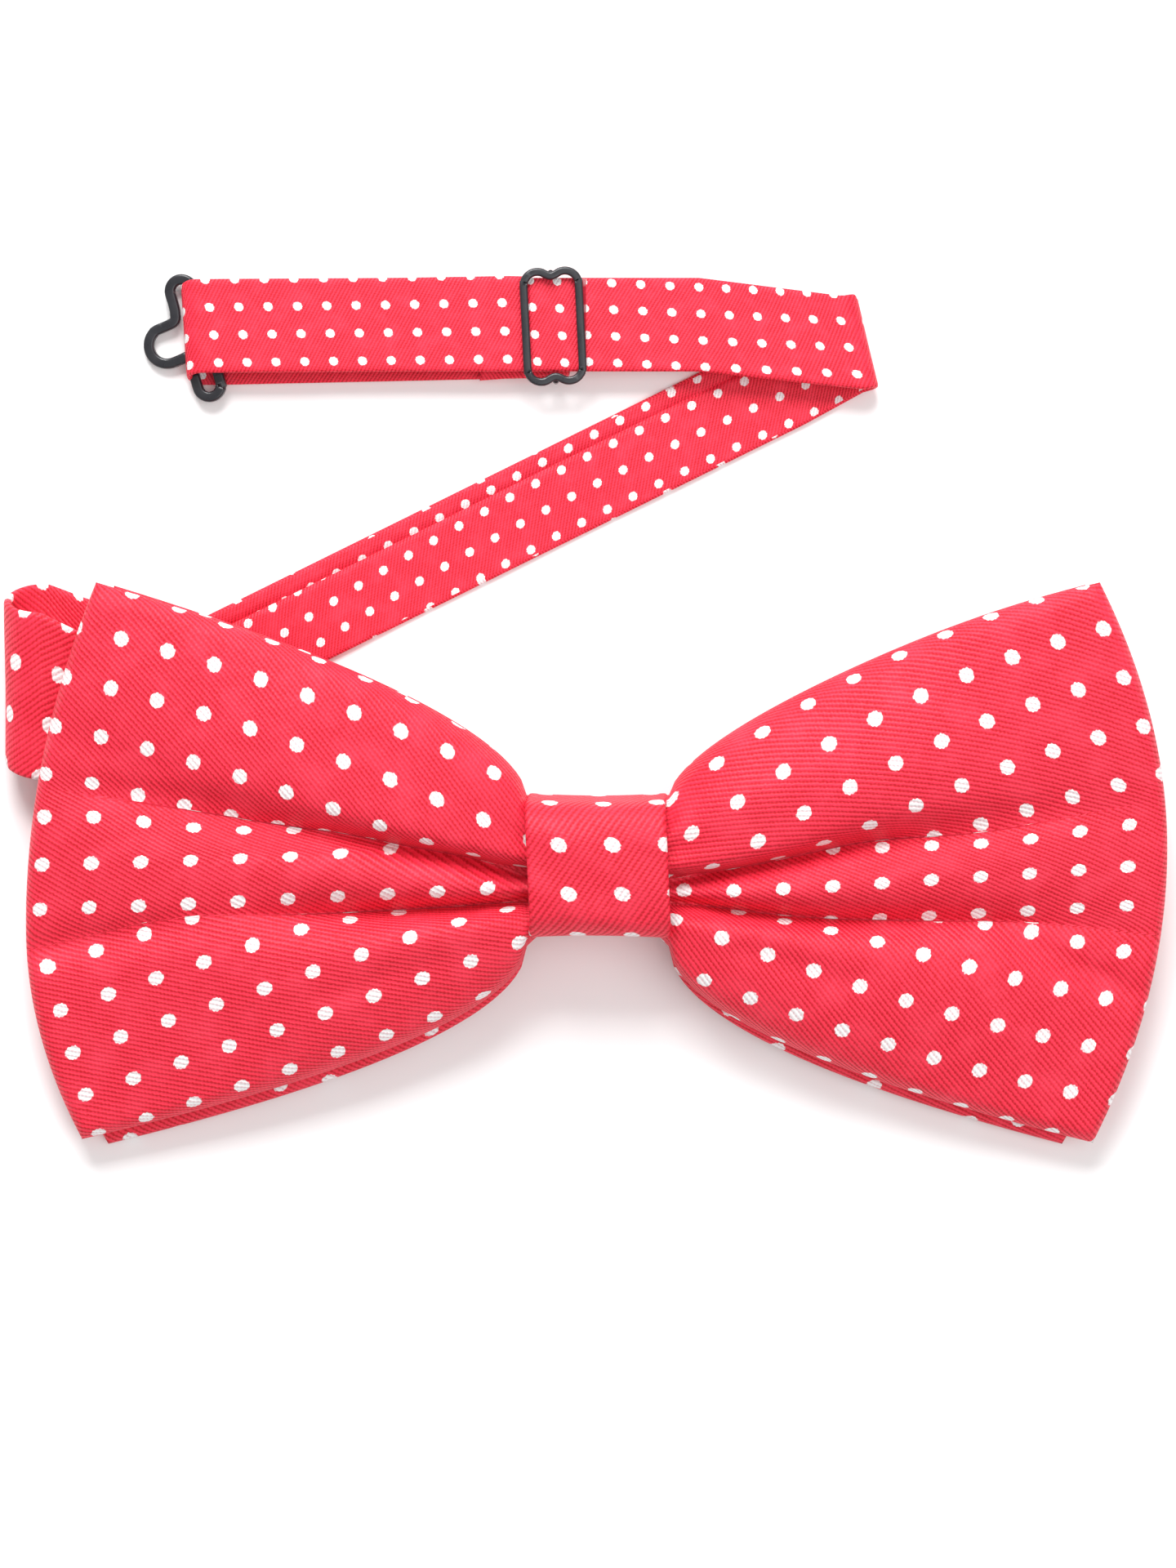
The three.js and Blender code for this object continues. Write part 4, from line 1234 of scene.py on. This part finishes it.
def make_slider():
    lobe = SLIDER_HALF_X / 2
    quarter = arc(SLIDER_HALF_X - lobe, SLIDER_HALF_Y - lobe, lobe, 0, 128, 8)
    top = quarter + [(0, SLIDER_HALF_Y - 0.52)] + [(-x, y) for x, y in reversed(quarter)]
    loop = [(SLIDER_HALF_X, 0)] + top + [(-SLIDER_HALF_X, 0)] + [(-x, -y) for x, y in top]
    frame_verts, frame_faces = flat_wire(smooth_path(loop, True), BAR_W, BAR_T, True)
    frame_verts[:, 2] += FRAME_Z
    post_y = NARROW_W / 2 + 0.72  # clear of the band's edge
    bar_path = [(0, y) for y in np.linspace(-post_y, post_y, 40)]
    bar_verts, bar_faces = flat_wire(np.array(bar_path), BAR_W, BAR_T, False)
    bar_verts[:, 2] += LOW_BAR_Z
    parts = [(frame_verts, frame_faces), (bar_verts, bar_faces)]
    heights = (LOW_BAR_Z - 0.1, (LOW_BAR_Z + FRAME_Z) / 2, FRAME_Z)
    for y in (-post_y, post_y):
        parts.append(tube([(0, y, z) for z in heights], POST_R, 12))
    verts, faces = [], []
    for part_verts, part_faces in parts:
        faces += [[k + len(verts) for k in f] for f in part_faces]
        verts += list(part_verts)
    world = turned(verts, Matrix.Rotation(SLIDER_LEAN, 4, "Z"), (SLIDER_X - 0.15, BAND_Y - 0.25, 0))
    piece = make_piece("slider_frame", world, faces, BLACK)
    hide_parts("slider")
    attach(piece, "slider")


WIRE_W = 1.15
WIRE_T = 1.05
EYE_T = 0.88
END_LOBE_R = 1.31
HOOK_BAR = 10.9
HOOK_LOBE_R = 2.05
HOOK_REACH = 4.6


def make_hook():
    half = HOOK_BAR / 2
    neck = 2 * END_LOBE_R
    shift = 0.17  # the lobe's middle is this far off the bar's
    points = [(neck, -half + 1.9), (neck, -half + 0.9)] + arc(END_LOBE_R, -half, END_LOBE_R, 0, -180, 10)
    points += [(0, 0)] + arc(END_LOBE_R, half, END_LOBE_R, 180, 0, 10)
    points += [(neck, half - 1.3), (neck + 0.1, half - 2.2), (neck + 0.55, half - 3.05)]
    points += arc(HOOK_REACH, shift, HOOK_LOBE_R, 70, -96, 14)
    points += [(HOOK_REACH - 1.2, shift - HOOK_LOBE_R + 0.1), (HOOK_REACH - 2.1, shift - HOOK_LOBE_R + 0.25)]
    verts, faces = flat_wire(smooth_path(points, False), WIRE_W, WIRE_T, False)
    verts[:, 1] *= -1
    faces = [f[::-1] for f in faces]
    matrix = Matrix.Rotation(pi + HOOK_LEAN, 4, "Z") @ Matrix.Rotation(HOOK_DIP, 4, "Y")
    world = turned(verts, matrix, (HOOK_X - 0.25, BAND_Y - 1, HOOK_BAR_Z))
    piece = make_piece("hook_wire", world, faces, BLACK)
    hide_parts("hook")
    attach(piece, "hook")


def make_eye():
    half, corner, reach = 6.2, 1.6, 7.4
    low, high = corner - half, half - corner
    points = arc(corner, low, corner, 180, 270, 6) + arc(reach - corner, low, corner, 270, 360, 6)
    points += [(reach, 0)] + arc(reach - corner, high, corner, 0, 90, 6)
    points += arc(corner, high, corner, 90, 180, 6) + [(0, 0)]
    verts, faces = flat_wire(smooth_path(points, True), WIRE_W, EYE_T, True)
    dip = asin((EYE_BAR_Z - 0.45) / reach)
    matrix = Matrix.Rotation(pi, 4, "Z") @ Matrix.Rotation(dip, 4, "Y")
    world = turned(verts, matrix, (EYE_X, BOW_SHIFT / 2, EYE_BAR_Z))
    piece = make_piece("eye_wire", world, faces, BLACK)
    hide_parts("eye")
    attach(piece, "eye")


make_slider()
make_hook()
make_eye()

# Floor and light

FLOOR_HALF = 3  # metres


def make_floor():
    mesh = bpy.data.meshes.new("floor")
    corners = [(x * FLOOR_HALF, y * FLOOR_HALF, 0) for x, y in ((-1, -1), (1, -1), (1, 1), (-1, 1))]
    mesh.from_pydata(corners, [], [(0, 1, 2, 3)])
    floor = add_object("floor", mesh)
    g = Graph("pale_floor")
    coordinates = g.object_coordinates()
    cloud = g.noise(coordinates, 30.0)
    g.shade(Base_Color=g.colours(cloud, (0.93, 0.93, 0.93, 1), (0.96, 0.96, 0.96, 1)), Roughness=0.8)
    g.shade(Specular_IOR_Level=0.2)
    mesh.materials.append(g.material)


def area_light(name, location, size, power):
    """A square light, in metres and watts, that aims at the middle of the frame."""
    data = bpy.data.lights.new(name, "AREA")
    data.size = size
    data.energy = power
    light = add_object(name, data)
    light.location = location
    light.rotation_euler = (-Vector(location)).to_track_quat("-Z", "Y").to_euler()


def make_lights():
    world = bpy.data.worlds.new("studio")
    bpy.context.scene.world = world
    world.use_nodes = True
    background = world.node_tree.nodes["Background"].inputs
    background["Color"].default_value = (1, 1, 1, 1)
    background["Strength"].default_value = 0.54
    area_light("key", (-0.12, 0.75, 0.70), 0.5, 13.0)
    area_light("fill", (0.35, -0.15, 0.9), 0.8, 3.5)


make_floor()
make_lights()
bpy.context.scene.view_settings.view_transform = "Standard"
